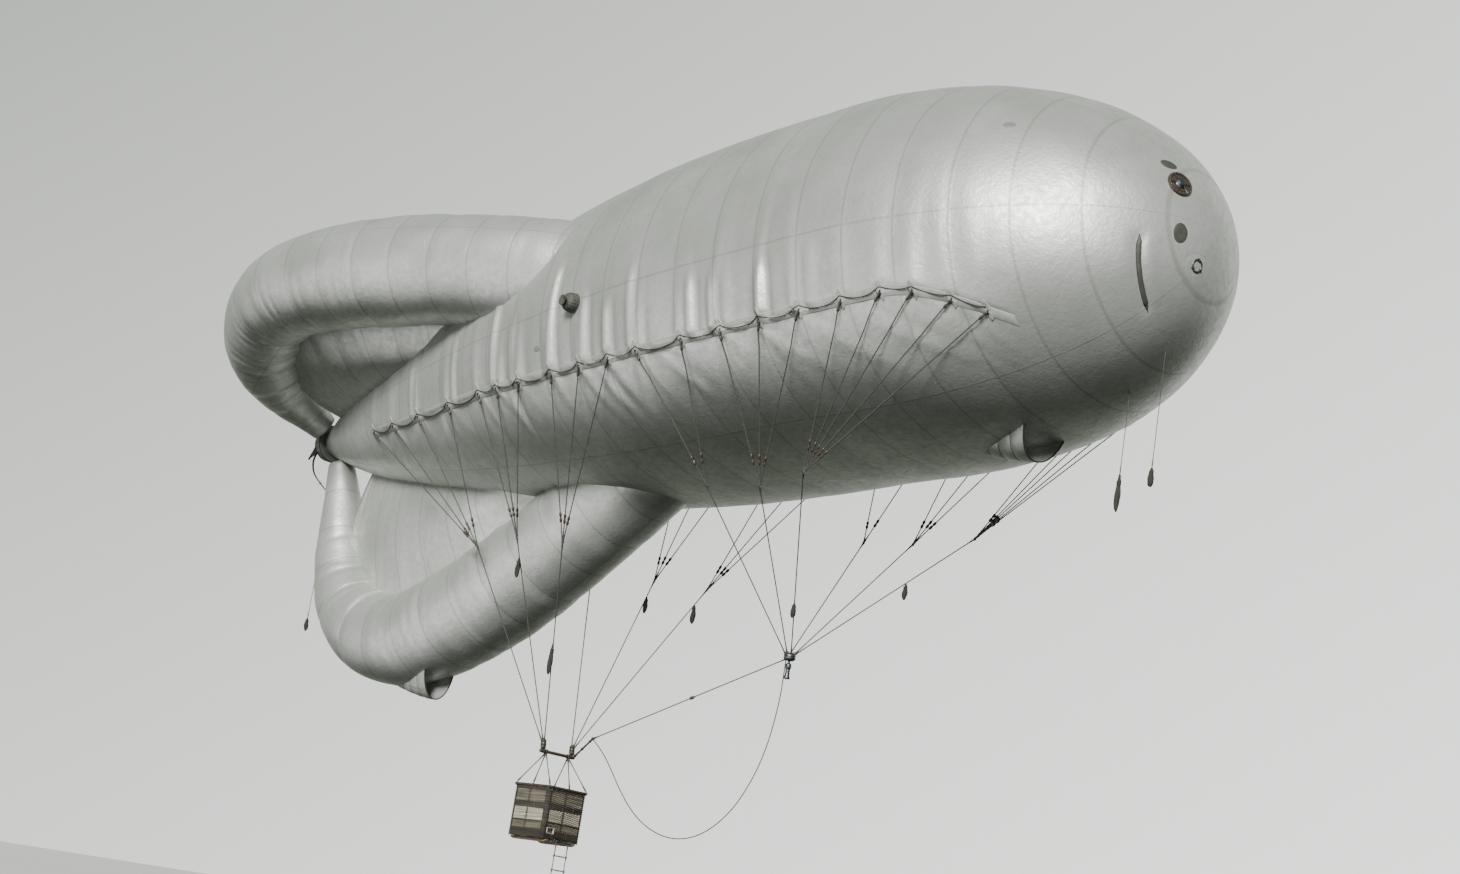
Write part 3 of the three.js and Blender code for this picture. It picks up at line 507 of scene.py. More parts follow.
# Envelope surface, and the band line that the whole rigging starts from
hull = {"radius": 4.1, "noseTip": 9.5, "noseLength": 7.0, "tailTip": -15.95, "tailPower": 1.75,
        "tailBlunt": 0.9, "flattest": 0.31, "nearBand": 4.5, "lowColumns": 22, "bandColumns": 26,
        "highColumns": 58, "noseRows": 92, "bodyRows": 328, "tailRows": 30, "tailFrom": -14.0,
        "flutter": 0.006}
shoulder = hull["noseTip"] - hull["noseLength"]
band = {"front": 6.9, "rear": -11.9, "level": -20, "frontDroop": -20, "frontDroopFrom": 4.8,
        "frontCurve": 1.8, "rearDroop": -5, "rearDroopFrom": -6.5}
# Band toggles from tail to nose, as far apart as in the photograph
toggleStations = [-11.75, -10.64, -9.32, -7.83, -6.53, -5.8, -4.97, -3.82, -2.88, -1.97, -1.15, 0.09, 1.09,
                  2.08, 3.04, 3.97, 4.78, 5.38, 6.01, 6.53]


def hullRadius(x):
    x = np.asarray(x, float)
    ahead = np.maximum(x - shoulder, 0) / hull["noseLength"]
    nose = hull["radius"] * np.sqrt(np.clip(1 - ahead ** 2, 0, 1))
    share = np.clip(np.minimum(x, 0) / hull["tailTip"], 0, 1)
    return np.where(x > 0, nose, hull["radius"] * (1 - share ** hull["tailPower"]) ** hull["tailBlunt"])


def belly(x):
    # The height below which the hull is flattened, and the share of the depth below it that is kept
    reach = np.where(x > 0, x / hull["noseTip"], x / hull["tailTip"])
    keep = 1 - hull["flattest"] * np.cos(np.minimum(1, reach) * math.pi / 2)
    return hullRadius(x) * math.sin(math.radians(band["level"])), keep


def hullPoint(x, angle, lift=0.0):
    x, angle, lift = np.broadcast_arrays(*(np.asarray(v, float) for v in (x, angle, lift)))
    radius = hullRadius(x)
    turn = np.radians(angle)
    waist, keep = belly(x)
    height = (radius + lift) * np.sin(turn)
    z = np.where(height < waist, waist + (height - waist) * keep, height)
    return np.stack([x, -(radius + lift) * np.cos(turn), z], -1)


def bandAngle(x):
    x = np.asarray(x, float)
    ahead = np.clip((x - band["frontDroopFrom"]) / (band["front"] - band["frontDroopFrom"]), 0, 2)
    behind = np.clip((x - band["rearDroopFrom"]) / (band["rear"] - band["rearDroopFrom"]), 0, 2)
    return band["level"] + band["frontDroop"] * ahead ** band["frontCurve"] + band["rearDroop"] * behind


def onSide(points, sign):
    points = np.array(points, float)
    points[..., 1] *= -sign
    return points


def bell(distance, width):
    return np.exp(-(distance / width) ** 2)


festoon = {"cusp": 0.1, "sagShare": 0.14, "mostSag": 0.2, "bulge": 0.034, "bulgeReach": 0.42, "recess": 0.034,
           "recessReach": 0.6, "edge": 0.09}


def festoonHeight(x):
    # Height of the stitched cord above the band line: it hangs between one toggle and the next
    stations = np.array(toggleStations)
    k = np.clip(np.searchsorted(stations, x) - 1, 0, len(stations) - 2)
    span = stations[k + 1] - stations[k]
    share = np.clip((x - stations[k]) / span, 0, 1)
    sag = np.minimum(festoon["mostSag"], festoon["sagShare"] * span)
    return festoon["cusp"] - sag * 4 * share * (1 - share)


# Sharp upright folds above the band: station, angle of the upper end, height
streaks = [(-9.6, 2, 0.03), (-7.6, 4, 0.03), (-5.9, 8, 0.055), (-5.2, 0, 0.035), (-3.8, 13, 0.06),
           (-2.7, -2, 0.05), (-2.0, -6, 0.05), (-1.3, 2, 0.035), (0.35, -6, 0.05), (0.9, -8, 0.05),
           (2.15, -8, 0.05), (3.3, -6, 0.03)]
streakShape = {"width": 0.085, "trough": 0.19, "troughDepth": 0.65, "lean": 0.03}
# Slanting folds below the band: station and angle of the upper end, then of the lower end, height
slants = [(3.0, -22, 4.6, -44, 0.035), (1.9, -22, 3.2, -40, 0.03), (4.2, -24, 5.9, -47, 0.035),
          (-0.6, -22, 0.2, -40, 0.024), (-2.4, -22, -1.9, -42, 0.022), (-5.4, -22, -5.3, -44, 0.024),
          (-8.3, -24, -8.6, -46, 0.024)]
slantWidth = 0.11
folds = {"height": 0.036, "width": 0.105, "reach": 1.5, "lowHeight": 0.024, "lowWidth": 0.1, "lowReach": 1.1,
         "weakShare": 0.62, "pillow": 0.009, "sway": 0.02, "thinFrom": 1.6}
# Slit of the ripping panel: station at -15 degrees, how far it slants, depth, width, and the ridge behind it
ripSlit = {"x": 8.87, "slant": 0.0049, "depth": 0.05, "width": 0.07, "ridge": 0.02, "ridgeAt": 0.16,
           "ridgeWidth": 0.08, "lowest": -62, "highest": -12}


def hullFolds(x, angle):
    # How far the cloth stands off the smooth shape: ridges above each toggle, a fan of folds below it
    x, angle = np.broadcast_arrays(np.asarray(x, float), np.asarray(angle, float))
    port = np.cos(np.radians(angle)) < 0
    sideAngle = np.where(port, 180 - angle, angle)
    sideAngle = (sideAngle + 180) % 360 - 180
    radius = np.maximum(hullRadius(x), 0.3)
    above = np.radians(sideAngle - bandAngle(x)) * radius
    pull = np.zeros_like(x)
    dice = random.Random(41)
    for portSide in (False, True):
        here = port == portSide
        up = np.maximum(above, 0)
        down = np.maximum(-above, 0)
        ridges = np.zeros_like(x)
        for station in toggleStations:
            strong = 1.0 if -6.5 < station < 3.5 else folds["weakShare"]
            for _ in range(2):
                centre = station + dice.uniform(-0.12, 0.12)
                height = folds["height"] * strong * dice.uniform(0.35, 1.0)
                width = folds["width"] * dice.uniform(0.7, 1.5)
                reach = folds["reach"] * dice.uniform(0.5, 1.6)
                slant = dice.uniform(-0.06, 0.06)
                line = x - centre - slant * up
                fade = np.exp(-(up / reach) ** 1.6) * (above > 0)
                trough = 0.45 * bell(line - 2 * width, width)
                ridges += height * fade * (bell(line, width * (1 + 0.25 * up)) - trough)
            for lean in (-0.75, -0.2, 0.5):
                height = folds["lowHeight"] * dice.uniform(0.3, 1.0)
                width = folds["lowWidth"] * dice.uniform(0.8, 1.5)
                reach = folds["lowReach"] * dice.uniform(0.5, 1.5)
                push = lean + (0.35 if station > 3 else -0.1) + dice.uniform(-0.2, 0.2)
                line = x - station - push * down
                fade = np.exp(-(down / reach) ** 1.5) * (above <= 0)
                ridges += height * fade * (bell(line, width) - 0.5 * bell(line + 1.8 * width, width))
        pull = np.where(here, ridges, pull)
    onBand = np.clip((band["front"] + 0.1 - x) / 0.5, 0, 1) * np.clip((x - band["rear"] + 0.1) / 0.4, 0, 1)
    for station, top, height in streaks:
        lean = x - station - streakShape["lean"] * above
        reach = np.clip((top + 5 - sideAngle) / 6, 0, 1) * np.clip(above / 0.12, 0, 1)
        trough = streakShape["troughDepth"] * bell(lean - streakShape["trough"], streakShape["width"])
        pull += height * reach * (bell(lean, streakShape["width"]) - trough)
    for x0, angle0, x1, angle1, height in slants:
        along = (angle0 - sideAngle) / (angle0 - angle1)
        lean = x - x0 - (x1 - x0) * along
        reach = np.clip(along * 5, 0, 1) * np.clip((1.15 - along) * 2.5, 0, 1)
        pull += height * reach * (bell(lean, slantWidth) - 0.5 * bell(lean - 2 * slantWidth, slantWidth))
    # The cloth bulges over the stitched cord and draws in below it
    edge = above - festoonHeight(x)
    over, under = np.maximum(edge, 0), np.maximum(-edge, 0)
    bulge = festoon["bulge"] * (1 - bell(over, festoon["edge"])) * bell(over, festoon["bulgeReach"])
    recess = festoon["recess"] * (1 - bell(under, festoon["edge"])) * bell(under, festoon["recessReach"])
    seam = (x / fabricLook["seamPitch"]) % 1.0
    pillow = folds["pillow"] * (np.sin(seam * math.pi) ** 0.6 - 0.7)
    turn = np.radians(angle)
    sway = folds["sway"] * np.sin(x * 1.7 + turn * 3) * np.sin(x * 0.61 + turn * 5) * 0.5
    fromSlit = x - (ripSlit["x"] - ripSlit["slant"] * (-15 - sideAngle))
    slit = (ripSlit["ridge"] * bell(fromSlit - ripSlit["ridgeAt"], ripSlit["ridgeWidth"])
            - ripSlit["depth"] * bell(fromSlit, ripSlit["width"])) * ~port
    slit = (slit * np.clip((sideAngle - ripSlit["lowest"]) / 6, 0, 1)
            * np.clip((ripSlit["highest"] - sideAngle) / 6, 0, 1))
    thin = np.clip(radius / folds["thinFrom"], 0, 1)
    return ((pull + bulge - recess) * onBand + pillow + sway) * thin + slit


def clothPoint(x, angle, lift=0.0):
    return inFlight(hullPoint(x, angle, hullFolds(x, angle) + lift))


def envelopeGrid(stations):
    # Angles run from below to above on each side, close together where the cloth folds at the band
    line = np.maximum(bandAngle(stations), -60)[:, None]
    near = hull["nearBand"]
    low = -90 + (line - near + 90) * np.linspace(0, 1, hull["lowColumns"], endpoint=False)
    close = line + near * np.linspace(-1, 1, hull["bandColumns"], endpoint=False)
    high = line + near + (90 - line - near) * np.linspace(0, 1, hull["highColumns"], endpoint=False)
    starboard = np.hstack([low, close, high])
    port = 180 - np.hstack([starboard, np.full_like(line, 90)])[:, :0:-1]
    angle = np.hstack([starboard, port])
    return stations[:, None] + 0 * angle, angle


def envelopeSkin():
    turns = np.linspace(0.012, math.pi / 2, hull["noseRows"], endpoint=False)
    nose = shoulder + hull["noseLength"] * np.cos(turns)
    body = np.linspace(shoulder, hull["tailFrom"], hull["bodyRows"], endpoint=False)
    tailLength = hull["tailTip"] * 0.9995 - hull["tailFrom"]
    tail = hull["tailFrom"] + tailLength * np.linspace(0, 1, hull["tailRows"]) ** 0.8
    stations = np.concatenate([nose, body, tail])
    x, angle = envelopeGrid(stations)
    flutter = [noise.noise(Vector((a * 1.3, b * 0.05, 3.0))) for a, b in zip(x.ravel(), angle.ravel())]
    lift = hullFolds(x, angle) + hull["flutter"] * np.reshape(flutter, x.shape)
    points = inFlight(hullPoint(x, angle, lift)).reshape(-1, 3)
    tips = inFlight([[hull["noseTip"], 0, 0], [hull["tailTip"], 0, 0]])
    faces = gridFaces(*x.shape, ends="fan")
    metres = np.stack([angle / 360 * 2 * math.pi * hull["radius"], x], -1).reshape(-1, 2)
    metres = np.vstack([metres, [[0, hull["noseTip"]], [0, hull["tailTip"]]]])
    addPiece("envelope_skin", [(np.vstack([points, tips]), faces)], fabric, "balloon",
             replaces=["envelope"], metres=metres)


envelopeSkin()
print("envelope skin made")

# Tail lobes: a fat roll bent round a pad, with a deep crease between the two
sideRoll = [
    [-3.6, 2.4, 1.08], [-5.1, 2.96, 1.17], [-7.2, 3.64, 1.2], [-9.2, 4.14, 1.22], [-11.2, 4.43, 1.16],
    [-12.6, 4.42, 1.1], [-13.8, 4.06, 1.03], [-14.8, 3.31, 0.96], [-15.27, 2.48, 0.83],
    [-15.4, 1.78, 0.65], [-15.38, 1.15, 0.47], [-15.33, 0.56, 0.34],
]
rudderRoll = [
    [-3.7, 2.05, 1.02], [-4.9, 2.62, 1.1], [-6.9, 3.62, 1.16], [-8.9, 4.56, 1.18], [-10.7, 5.12, 1.14],
    [-12.0, 5.26, 1.08], [-13.25, 4.9, 0.99], [-14.1, 4.08, 0.86], [-14.56, 3.1, 0.7],
    [-14.76, 2.2, 0.56], [-14.93, 1.35, 0.43], [-15.08, 0.6, 0.32],
]
lobes = [
    {"name": "starboard", "angle": 30, "rows": sideRoll, "padThickness": 0.9, "padFront": -4.7,
     "padRear": -14.95, "seed": 3},
    {"name": "port", "angle": 150, "rows": sideRoll, "padThickness": 0.9, "padFront": -4.7,
     "padRear": -14.95, "seed": 8},
    {"name": "rudder", "angle": -90, "rows": rudderRoll, "padThickness": 0.82, "padFront": -4.5,
     "padRear": -14.35, "seed": 14},
]
rollLook = {"rows": 250, "sides": 72, "pleats": 46, "pleat": 0.05, "pillow": 0.014, "swell": 0.012}
padLook = {"rows": 110, "sides": 72, "root": 0.45, "crown": 2.6, "crownFall": 0.9, "lean": 1.15, "full": 1.06,
           "folds": 26, "fold": 0.024, "pillow": 0.01, "creaseReach": 0.86, "creaseDepth": 0.42,
           "creaseWidth": 0.2}


def aboutAxis(points, angle):
    turn = math.radians(90 - angle)
    points = np.asarray(points, float)
    y = points[..., 1] * math.cos(turn) - points[..., 2] * math.sin(turn)
    z = points[..., 1] * math.sin(turn) + points[..., 2] * math.cos(turn)
    return np.stack([points[..., 0], y, z], -1)


def rollFrame(rows, count):
    # Centres, outward directions, radii, lengths and bend of a roll's centreline
    samples = smoothRoute(rows, count)
    centre = np.stack([samples[:, 0], np.zeros(count), samples[:, 1]], -1)
    along = np.gradient(centre, axis=0)
    along /= np.linalg.norm(along, axis=1)[:, None]
    out = np.stack([along[:, 2], np.zeros(count), -along[:, 0]], -1)
    length = runningLength(centre)
    heading = np.unwrap(np.arctan2(along[:, 2], along[:, 0]))
    bend = np.abs(np.gradient(heading, length))
    return centre, out, samples[:, 2], length, bend


def rollPiece(lobe):
    centre, out, *sizes = rollFrame(lobe["rows"], rollLook["rows"])
    x, z, outX, outZ, r, s, k = (v[:, None] for v in (*centre.T[::2], *out.T[::2], *sizes))
    turn = turnsOf(rollLook["sides"])[None]
    dice = random.Random(lobe["seed"])
    inner = (0.5 - 0.5 * np.cos(turn)) ** 0.8
    lift = np.zeros((len(s), turn.size))
    for _ in range(rollLook["pleats"]):
        where = dice.uniform(0.06, 0.99) * float(s[-1, 0])
        width = dice.uniform(0.06, 0.15)
        height = rollLook["pleat"] * dice.uniform(0.25, 1.0)
        wander = dice.uniform(-0.14, 0.14)
        phase = dice.uniform(0, 2 * math.pi)
        line = s - where - wander * np.sin(turn + phase)
        grip = np.clip(0.25 + k * r * 2.6, 0, 1.25)
        lift += -height * grip * inner * bell(line, width)
        lift += 0.22 * height * (0.5 + 0.5 * np.cos(turn - phase)) * bell(line - 0.2, width * 1.4)
    seam = (s / fabricLook["seamPitch"]) % 1.0
    lift += rollLook["pillow"] * (np.sin(seam * math.pi) ** 0.6 - 0.75)
    lift += rollLook["swell"] * np.sin(s * 2.1 + 2 * turn + lobe["seed"]) * np.sin(3 * turn + s)
    full = r + lift * np.clip(r / 0.7, 0.3, 1)
    across = full * np.cos(turn)
    points = np.stack([x + outX * across, full * np.sin(turn), z + outZ * across], -1)
    points = inFlight(aboutAxis(points, lobe["angle"]))
    metres = np.vstack([np.stack([turn * r, s + 0 * turn], -1).reshape(-1, 2), [[0, 0], [0, s.max()]]])
    shape = withEnds(points), gridFaces(*points.shape[:2], ends="fan")
    addPiece(f"{lobe['name']}_roll_skin", [shape], fabric,
             "balloon", replaces=[f"{lobe['name']}_lobe_roll"], metres=metres)


def rollHeight(rows, x, column=1):
    table = np.array(rows)
    reach = table[:np.argmin(table[:, 0]) + 1]
    return np.interp(-x, -reach[:, 0], reach[:, column])


def padPiece(lobe):
    share = np.linspace(0, 1, padLook["rows"])[:, None]
    turn = turnsOf(padLook["sides"])[None]
    x = lobe["padFront"] + (lobe["padRear"] - lobe["padFront"]) * share
    top = np.maximum(rollHeight(lobe["rows"], x), padLook["crown"] - padLook["crownFall"] * share)
    root = hullRadius(np.maximum(x, lobe["padRear"])) * padLook["root"]
    bulge = np.sin(math.pi * np.minimum(0.94, 0.2 + 0.76 * share)) ** 0.7
    up = (1 + np.cos(turn)) / 2
    dice = random.Random(lobe["seed"] + 50)
    crease = np.zeros((share.shape[0], turn.shape[1]))
    for _ in range(padLook["folds"]):
        where = dice.uniform(0.1, 1.0)
        width = dice.uniform(0.008, 0.022)
        height = padLook["fold"] * dice.uniform(0.3, 1.0)
        slant = dice.uniform(-0.05, 0.05)
        line = share - where - slant * (up - 0.5)
        crease -= height * bell(line, width) * (0.35 + 0.65 * (2 * up - 1) ** 2)
    seam = ((x - 0.4 * up) / fabricLook["seamPitch"]) % 1.0
    crease = crease + padLook["pillow"] * (np.sin(seam * math.pi) ** 0.6 - 0.75)
    # The pad draws in where it meets the roll, so that the two stand apart in a deep crease
    meeting = (top - padLook["creaseReach"] * rollHeight(lobe["rows"], x, 2) - root) / (top - root)
    drawn = 1 - padLook["creaseDepth"] * bell(np.minimum(up - meeting, 0), padLook["creaseWidth"])
    half = lobe["padThickness"] * bulge * padLook["full"] * drawn + crease
    forward = padLook["lean"] * share ** 6 * (1 - up) ** 1.5
    points = np.stack([x + forward, half * np.sin(turn), root + (top - root) * up], -1)
    points = inFlight(aboutAxis(points, lobe["angle"]))
    metres = np.stack([(top - root) * up, x - 0.4 * up], -1).reshape(-1, 2)
    metres = np.vstack([metres, [[0, 0], [0, 0]]])
    shape = withEnds(points), gridFaces(*points.shape[:2], ends="fan")
    addPiece(f"{lobe['name']}_pad_skin", [shape], fabric,
             "balloon", replaces=[f"{lobe['name']}_lobe_pad"], metres=metres)


for lobe in lobes:
    rollPiece(lobe)
    padPiece(lobe)
print("tail lobes made")

# Suspension bands: doubled cloth on the skin, a stitched cord that hangs in festoons, a patch at each toggle
bandDress = {"half": 0.122, "rise": 0.009, "rows": 520, "cordRadius": 0.009, "cordLift": 0.016,
             "patchLength": 0.46, "patchWidth": 0.17, "patchLift": 0.012, "becketRadius": 0.011,
             "becketDrop": 0.035, "becketOut": 0.02}


def sideways(angle, sign):
    return angle if sign < 0 else 180 - np.asarray(angle, float)


def onCloth(x, above, sign, lift):
    # A point on the dressed skin, given as station and metres above the band line
    x = np.asarray(x, float)
    angle = bandAngle(x) + np.degrees(np.asarray(above, float) / np.maximum(hullRadius(x), 0.3))
    return clothPoint(x, sideways(angle, sign), lift)


def bandPiece(side, sign):
    stations = np.linspace(band["front"], band["rear"], bandDress["rows"])
    half, rise = bandDress["half"], bandDress["rise"]
    outline = [(-half, -0.05), (-half + 0.002, 0.004), (-half + 0.014, rise), (half - 0.014, rise),
               (half - 0.002, 0.004), (half, -0.05)]
    rings = np.stack([onCloth(stations, above, sign, lift) for above, lift in outline], 1)
    parts = [(withEnds(rings), gridFaces(*rings.shape[:2], ends="fan"), 0)]
    steps = np.linspace(toggleStations[0], toggleStations[-1], bandDress["rows"])
    line = onCloth(steps, festoonHeight(steps), sign, bandDress["cordLift"])
    parts.append((*tube(line, bandDress["cordRadius"], 6), 1))
    for station in toggleStations:
        parts.append((*clothPatch(station, sign), 0))
        base = onCloth(station, 0.03, sign, 0.03)
        out = unit(onCloth(station, 0.0, sign, 0.2) - onCloth(station, 0.0, sign, 0.0))
        down = unit(onCloth(station, -0.1, sign, 0.03) - base)
        turn = np.linspace(0, 2 * math.pi, 15)[:, None]
        loop = (base + down * (bandDress["becketDrop"] * (1 - np.cos(turn)))
                + out * (bandDress["becketOut"] * np.sin(turn)))
        parts.append((*tube(loop, bandDress["becketRadius"], 6), 1))
    addPiece(f"band_dress_{side}", parts, [paleTape, darkHemp], "balloon",
             replaces=[f"suspension_band_{side}"])


def clothPatch(station, sign):
    # A pointed patch that spreads the toggle's pull into the cloth
    rows, columns = 15, 7
    share = np.linspace(-1, 1, rows)
    width = bandDress["patchWidth"] / 2 * (1 - np.abs(share) ** 1.6) + 0.004
    across = np.linspace(-1, 1, columns)
    x = station + width[:, None] * across[None]
    above = np.broadcast_to((share * bandDress["patchLength"] / 2 + 0.02)[:, None], x.shape)
    lift = bandDress["patchLift"] * (1 - 0.5 * np.abs(across[None]) ** 6) + 0 * x
    top = onCloth(x, above, sign, lift).reshape(-1, 3)
    under = onCloth(x, above, sign, lift - 0.02).reshape(-1, 3)
    return np.vstack([top, under]), clothFaces(rows, columns)


bothSides = (("starboard", -1), ("port", 1))
for side, sign in bothSides:
    bandPiece(side, sign)
print("suspension bands made")

# Rope, toggles and hanks that the rigging shares
ropeWork = {"radius": 0.013, "sides": 8, "step": 0.024, "lay": 0.26, "spliceLength": 0.14, "swell": 0.7,
            "hullGap": 0.06, "toggleLength": 0.21, "toggleRadius": 0.03, "legToggleUp": 0.45}


def laidRope(route, radius=ropeWork["radius"], splices=(True, True), lay=ropeWork["lay"]):
    route = np.asarray(route, float)
    length = runningLength(route)
    even = np.linspace(0, length[-1], max(6, round(length[-1] / ropeWork["step"])))
    swell = splices[0] * bell(even, ropeWork["spliceLength"])
    swell = swell + splices[1] * bell(length[-1] - even, ropeWork["spliceLength"])
    return tube(pointsAlong(route, length, even), radius * (1 + ropeWork["swell"] * swell), ropeWork["sides"],
                strands=3, lay=lay, depth=0.3)


def mirrored(rows, middle=()):
    # A lathe profile whose upper half repeats the lower half
    return [*rows, *middle, *((radius, -height) for radius, height in reversed(rows))]


def toggleShape(start, axis):
    half = ropeWork["toggleLength"] / 2
    big = ropeWork["toggleRadius"]
    profile = [(0.006, -half), (big * 0.75, -half + 0.006), (big, -half + 0.03), (big * 0.95, -0.03),
               (big * 0.62, -0.012)]
    return turned(mirrored(profile), np.asarray(start) + unit(axis) * half, axis, 12)


def ringShape(centre, axis, radius, thickness, turns=18, sides=8):
    axis = unit(axis)
    first, second = crossAxes(axis)
    around, about = turnsOf(turns)[:, None], turnsOf(sides)
    out = first * np.cos(around) + second * np.sin(around)
    points = (np.asarray(centre, float) + out[:, None] * (radius + thickness * np.cos(about))[None, :, None]
              + axis * (thickness * np.sin(about))[None, :, None])
    return points.reshape(-1, 3), gridFaces(turns, sides, ends="loop")


def whipping(places, axis, radius, thickness, finish, turns=28):
    # Thin line wound round a rod, one ring for each turn of it
    return [(*ringShape(at, axis, radius, thickness, turns, 6), finish) for at in places]


hankShape = {"loops": 8, "line": 0.013, "lashing": 0.01, "lashTurns": 7, "lashRadius": 0.034,
             "lashHigh": 0.09}


def hankParts(top, length, seed, finish):
    # Stowed line: long loops hung on a hook of rope, gathered by a few turns near the top
    dice = random.Random(seed)
    top = np.asarray(top, float)
    parts = []
    for k in range(hankShape["loops"]):
        heading = k * math.pi / hankShape["loops"] + dice.uniform(-0.15, 0.15)
        across = np.array([math.cos(heading), math.sin(heading), 0])
        wide = dice.uniform(0.036, 0.052)
        low = length * dice.uniform(0.9, 1.0)
        t = np.linspace(0, 2 * math.pi, 33)
        down = 0.02 + (low - 0.02) * (1 - np.cos(t)) / 2
        neck = 0.35 + 0.65 * np.clip((down / length - 0.28) / 0.3, 0, 1)
        bow = dice.uniform(-0.012, 0.012) * np.sin(down / length * 5)
        route = top + across * (wide * np.sin(t) * neck + bow)[:, None] - upward * down[:, None]
        parts.append((*tube(route, hankShape["line"], 6), finish))
    t = np.linspace(0, hankShape["lashTurns"] * 2 * math.pi, 85)
    wide, high = hankShape["lashRadius"], hankShape["lashHigh"]
    spiral = np.stack([wide * np.cos(t), wide * np.sin(t), -length * 0.2 - high * t / t[-1]], -1)
    parts.append((*tube(top + spiral, hankShape["lashing"], 6), finish))
    return parts


# Stays on each side: two band toggles that the leg pair starts from, more toggles that only the dressing has,
# what holds the lower end, its slot there, share of the way down where the legs meet, how far out they meet
stays = [
    {"name": "basket_stay_aft", "toggles": [-9.32, -7.83], "more": [-10.64, -11.75], "to": "block", "slot": 0,
     "split": 0.42, "flare": 1},
    {"name": "basket_stay_mid", "toggles": [-6.53, -4.97], "more": [-5.8], "to": "block", "slot": 1,
     "split": 0.42, "flare": 1},
    {"name": "basket_stay_fore", "toggles": [-3.82, -1.97], "more": [-2.88], "to": "block", "slot": 2,
     "split": 0.46, "flare": 1},
    {"name": "mooring_stay_aft", "toggles": [-1.15, 0.09], "more": [], "to": "plate", "slot": 0,
     "split": 0.46, "flare": 1.15},
    {"name": "mooring_stay_mid", "toggles": [1.09, 3.04], "more": [2.08], "to": "plate", "slot": 1,
     "split": 0.5, "flare": 1.2},
    {"name": "mooring_stay_fore", "toggles": [3.97, 5.38], "more": [4.78, 6.01, 6.53], "to": "plate",
     "slot": 2, "split": 0.5, "flare": 1.45},
]
# Hanks hung from a stay: its node, distance up from its lower end, length
hanks = {"basket_stay_mid_starboard": (3.95, 0.44), "basket_stay_mid_port": (3.95, 0.38),
         "basket_stay_fore_starboard": (2.28, 0.68), "basket_stay_fore_port": (4.07, 0.42),
         "mooring_stay_fore_starboard": (1.33, 0.3), "mooring_stay_fore_port": (2.73, 0.34)}
stayBlock = {"rise": 0.15, "inset": 0.42, "spread": 0.034, "out": 0.014, "up": 0.04}
bandFoot = 0.03


def clearOfHull(points, gap):
    # Pushes points in the balloon's frame out until they clear the envelope by the gap
    points = np.array(points, float)
    x, y, z = points.T
    waist, keep = belly(x)
    height = np.where(z < waist, waist + (z - waist) / keep, z)
    push = np.maximum(1, (hullRadius(x) + gap) / np.maximum(np.hypot(y, height), 0.01))
    height = height * push
    return np.stack([x, y * push, np.where(height < waist, waist + (height - waist) * keep, height)], -1)


def stayEnds(row, sign):
    feet = [onSide(hullPoint(x, bandAngle(x), bandFoot), sign) for x in row["toggles"] + row["more"]]
    if row["to"] == "block":
        low = np.array([bar["x"] + (row["slot"] - 1) * stayBlock["spread"],
                        sign * (stayBlock["inset"] + stayBlock["out"]),
                        bar["z"] + stayBlock["rise"] + stayBlock["up"]])
    else:
        turn = math.radians(sign * (plate["firstEye"] - row["slot"] * plate["eyeStep"]))
        low = np.array([plate["x"] + plate["eyeCircle"] * math.cos(turn), plate["eyeCircle"] * math.sin(turn),
                        plate["z"] + plate["eyeRise"]])
    middle = (feet[0] + feet[1]) / 2
    apex = middle + (low - middle) * row["split"]
    apex[1] *= row["flare"]
    return feet, apex, low


def stayPiece(row, side, sign):
    name = f"{row['name']}_{side}"
    feet, apex, low = stayEnds(row, sign)
    parts = [(*laidRope(inFlight([low, apex])), 0)]
    for foot in feet:
        leg = straight(foot, apex, 40)
        leg[1:-1] = clearOfHull(leg[1:-1], ropeWork["hullGap"])
        route = inFlight(leg)
        parts.append((*laidRope(route), 0))
        walked = runningLength(route)
        for start in (0.0, walked[-1] - ropeWork["legToggleUp"] - ropeWork["toggleLength"]):
            at, ahead = pointsAlong(route, walked, [start, start + ropeWork["toggleLength"]])
            parts.append((*toggleShape(at, ahead - at), 1))
    top, bottom = inFlight(apex), inFlight(low)
    parts.append((*ringShape(top, (0.3, 1, 0), 0.032, 0.009), 2))
    parts.append((*ringShape(bottom, (0.2, 0.4, 1), 0.02, 0.007, 12, 6), 2))
    if name in hanks:
        up, length = hanks[name]
        at = bottom + unit(top - bottom) * up
        parts += hankParts(at, length, len(name) + round(up * 100), 3)
    addPiece(f"{name}_rope", parts, [hemp, darkAsh, steel, darkHemp], "balloon", replaces=[name])


for row in stays:
    for side, sign in bothSides:
        stayPiece(row, side, sign)
print("stays made")

# Fittings on the envelope: gas valve, nose ring, patches, sleeve, tail cap and scoops
def hullNormal(x, angle):
    around = hullPoint(x, angle + 0.5) - hullPoint(x, angle - 0.5)
    along = hullPoint(x + 0.01, angle) - hullPoint(x - 0.01, angle)
    normal = unit(np.cross(around, along))
    return normal if normal.dot(hullPoint(x, angle, 0.1) - hullPoint(x, angle)) > 0 else -normal


def flown(part):
    return (inFlight(part[0]), *part[1:])


def gathered(profile, centre, axis, pleats, sides=96):
    # A lathe shape whose rows are radius, height and how deep its pleats are
    rows = np.asarray(profile, float)
    points, faces = turned(rows[:, :2], (0, 0, 0), axis, sides)
    wave = 1 + rows[:, 2:3] * (np.abs(np.sin(turnsOf(sides) * pleats / 2))[None] - 0.6)
    along = points @ unit(axis)
    straightOut = points - along[:, None] * unit(axis)
    scale = np.concatenate([wave.ravel(), [1, 1]])
    return straightOut * scale[:, None] + along[:, None] * unit(axis) + np.asarray(centre, float), faces


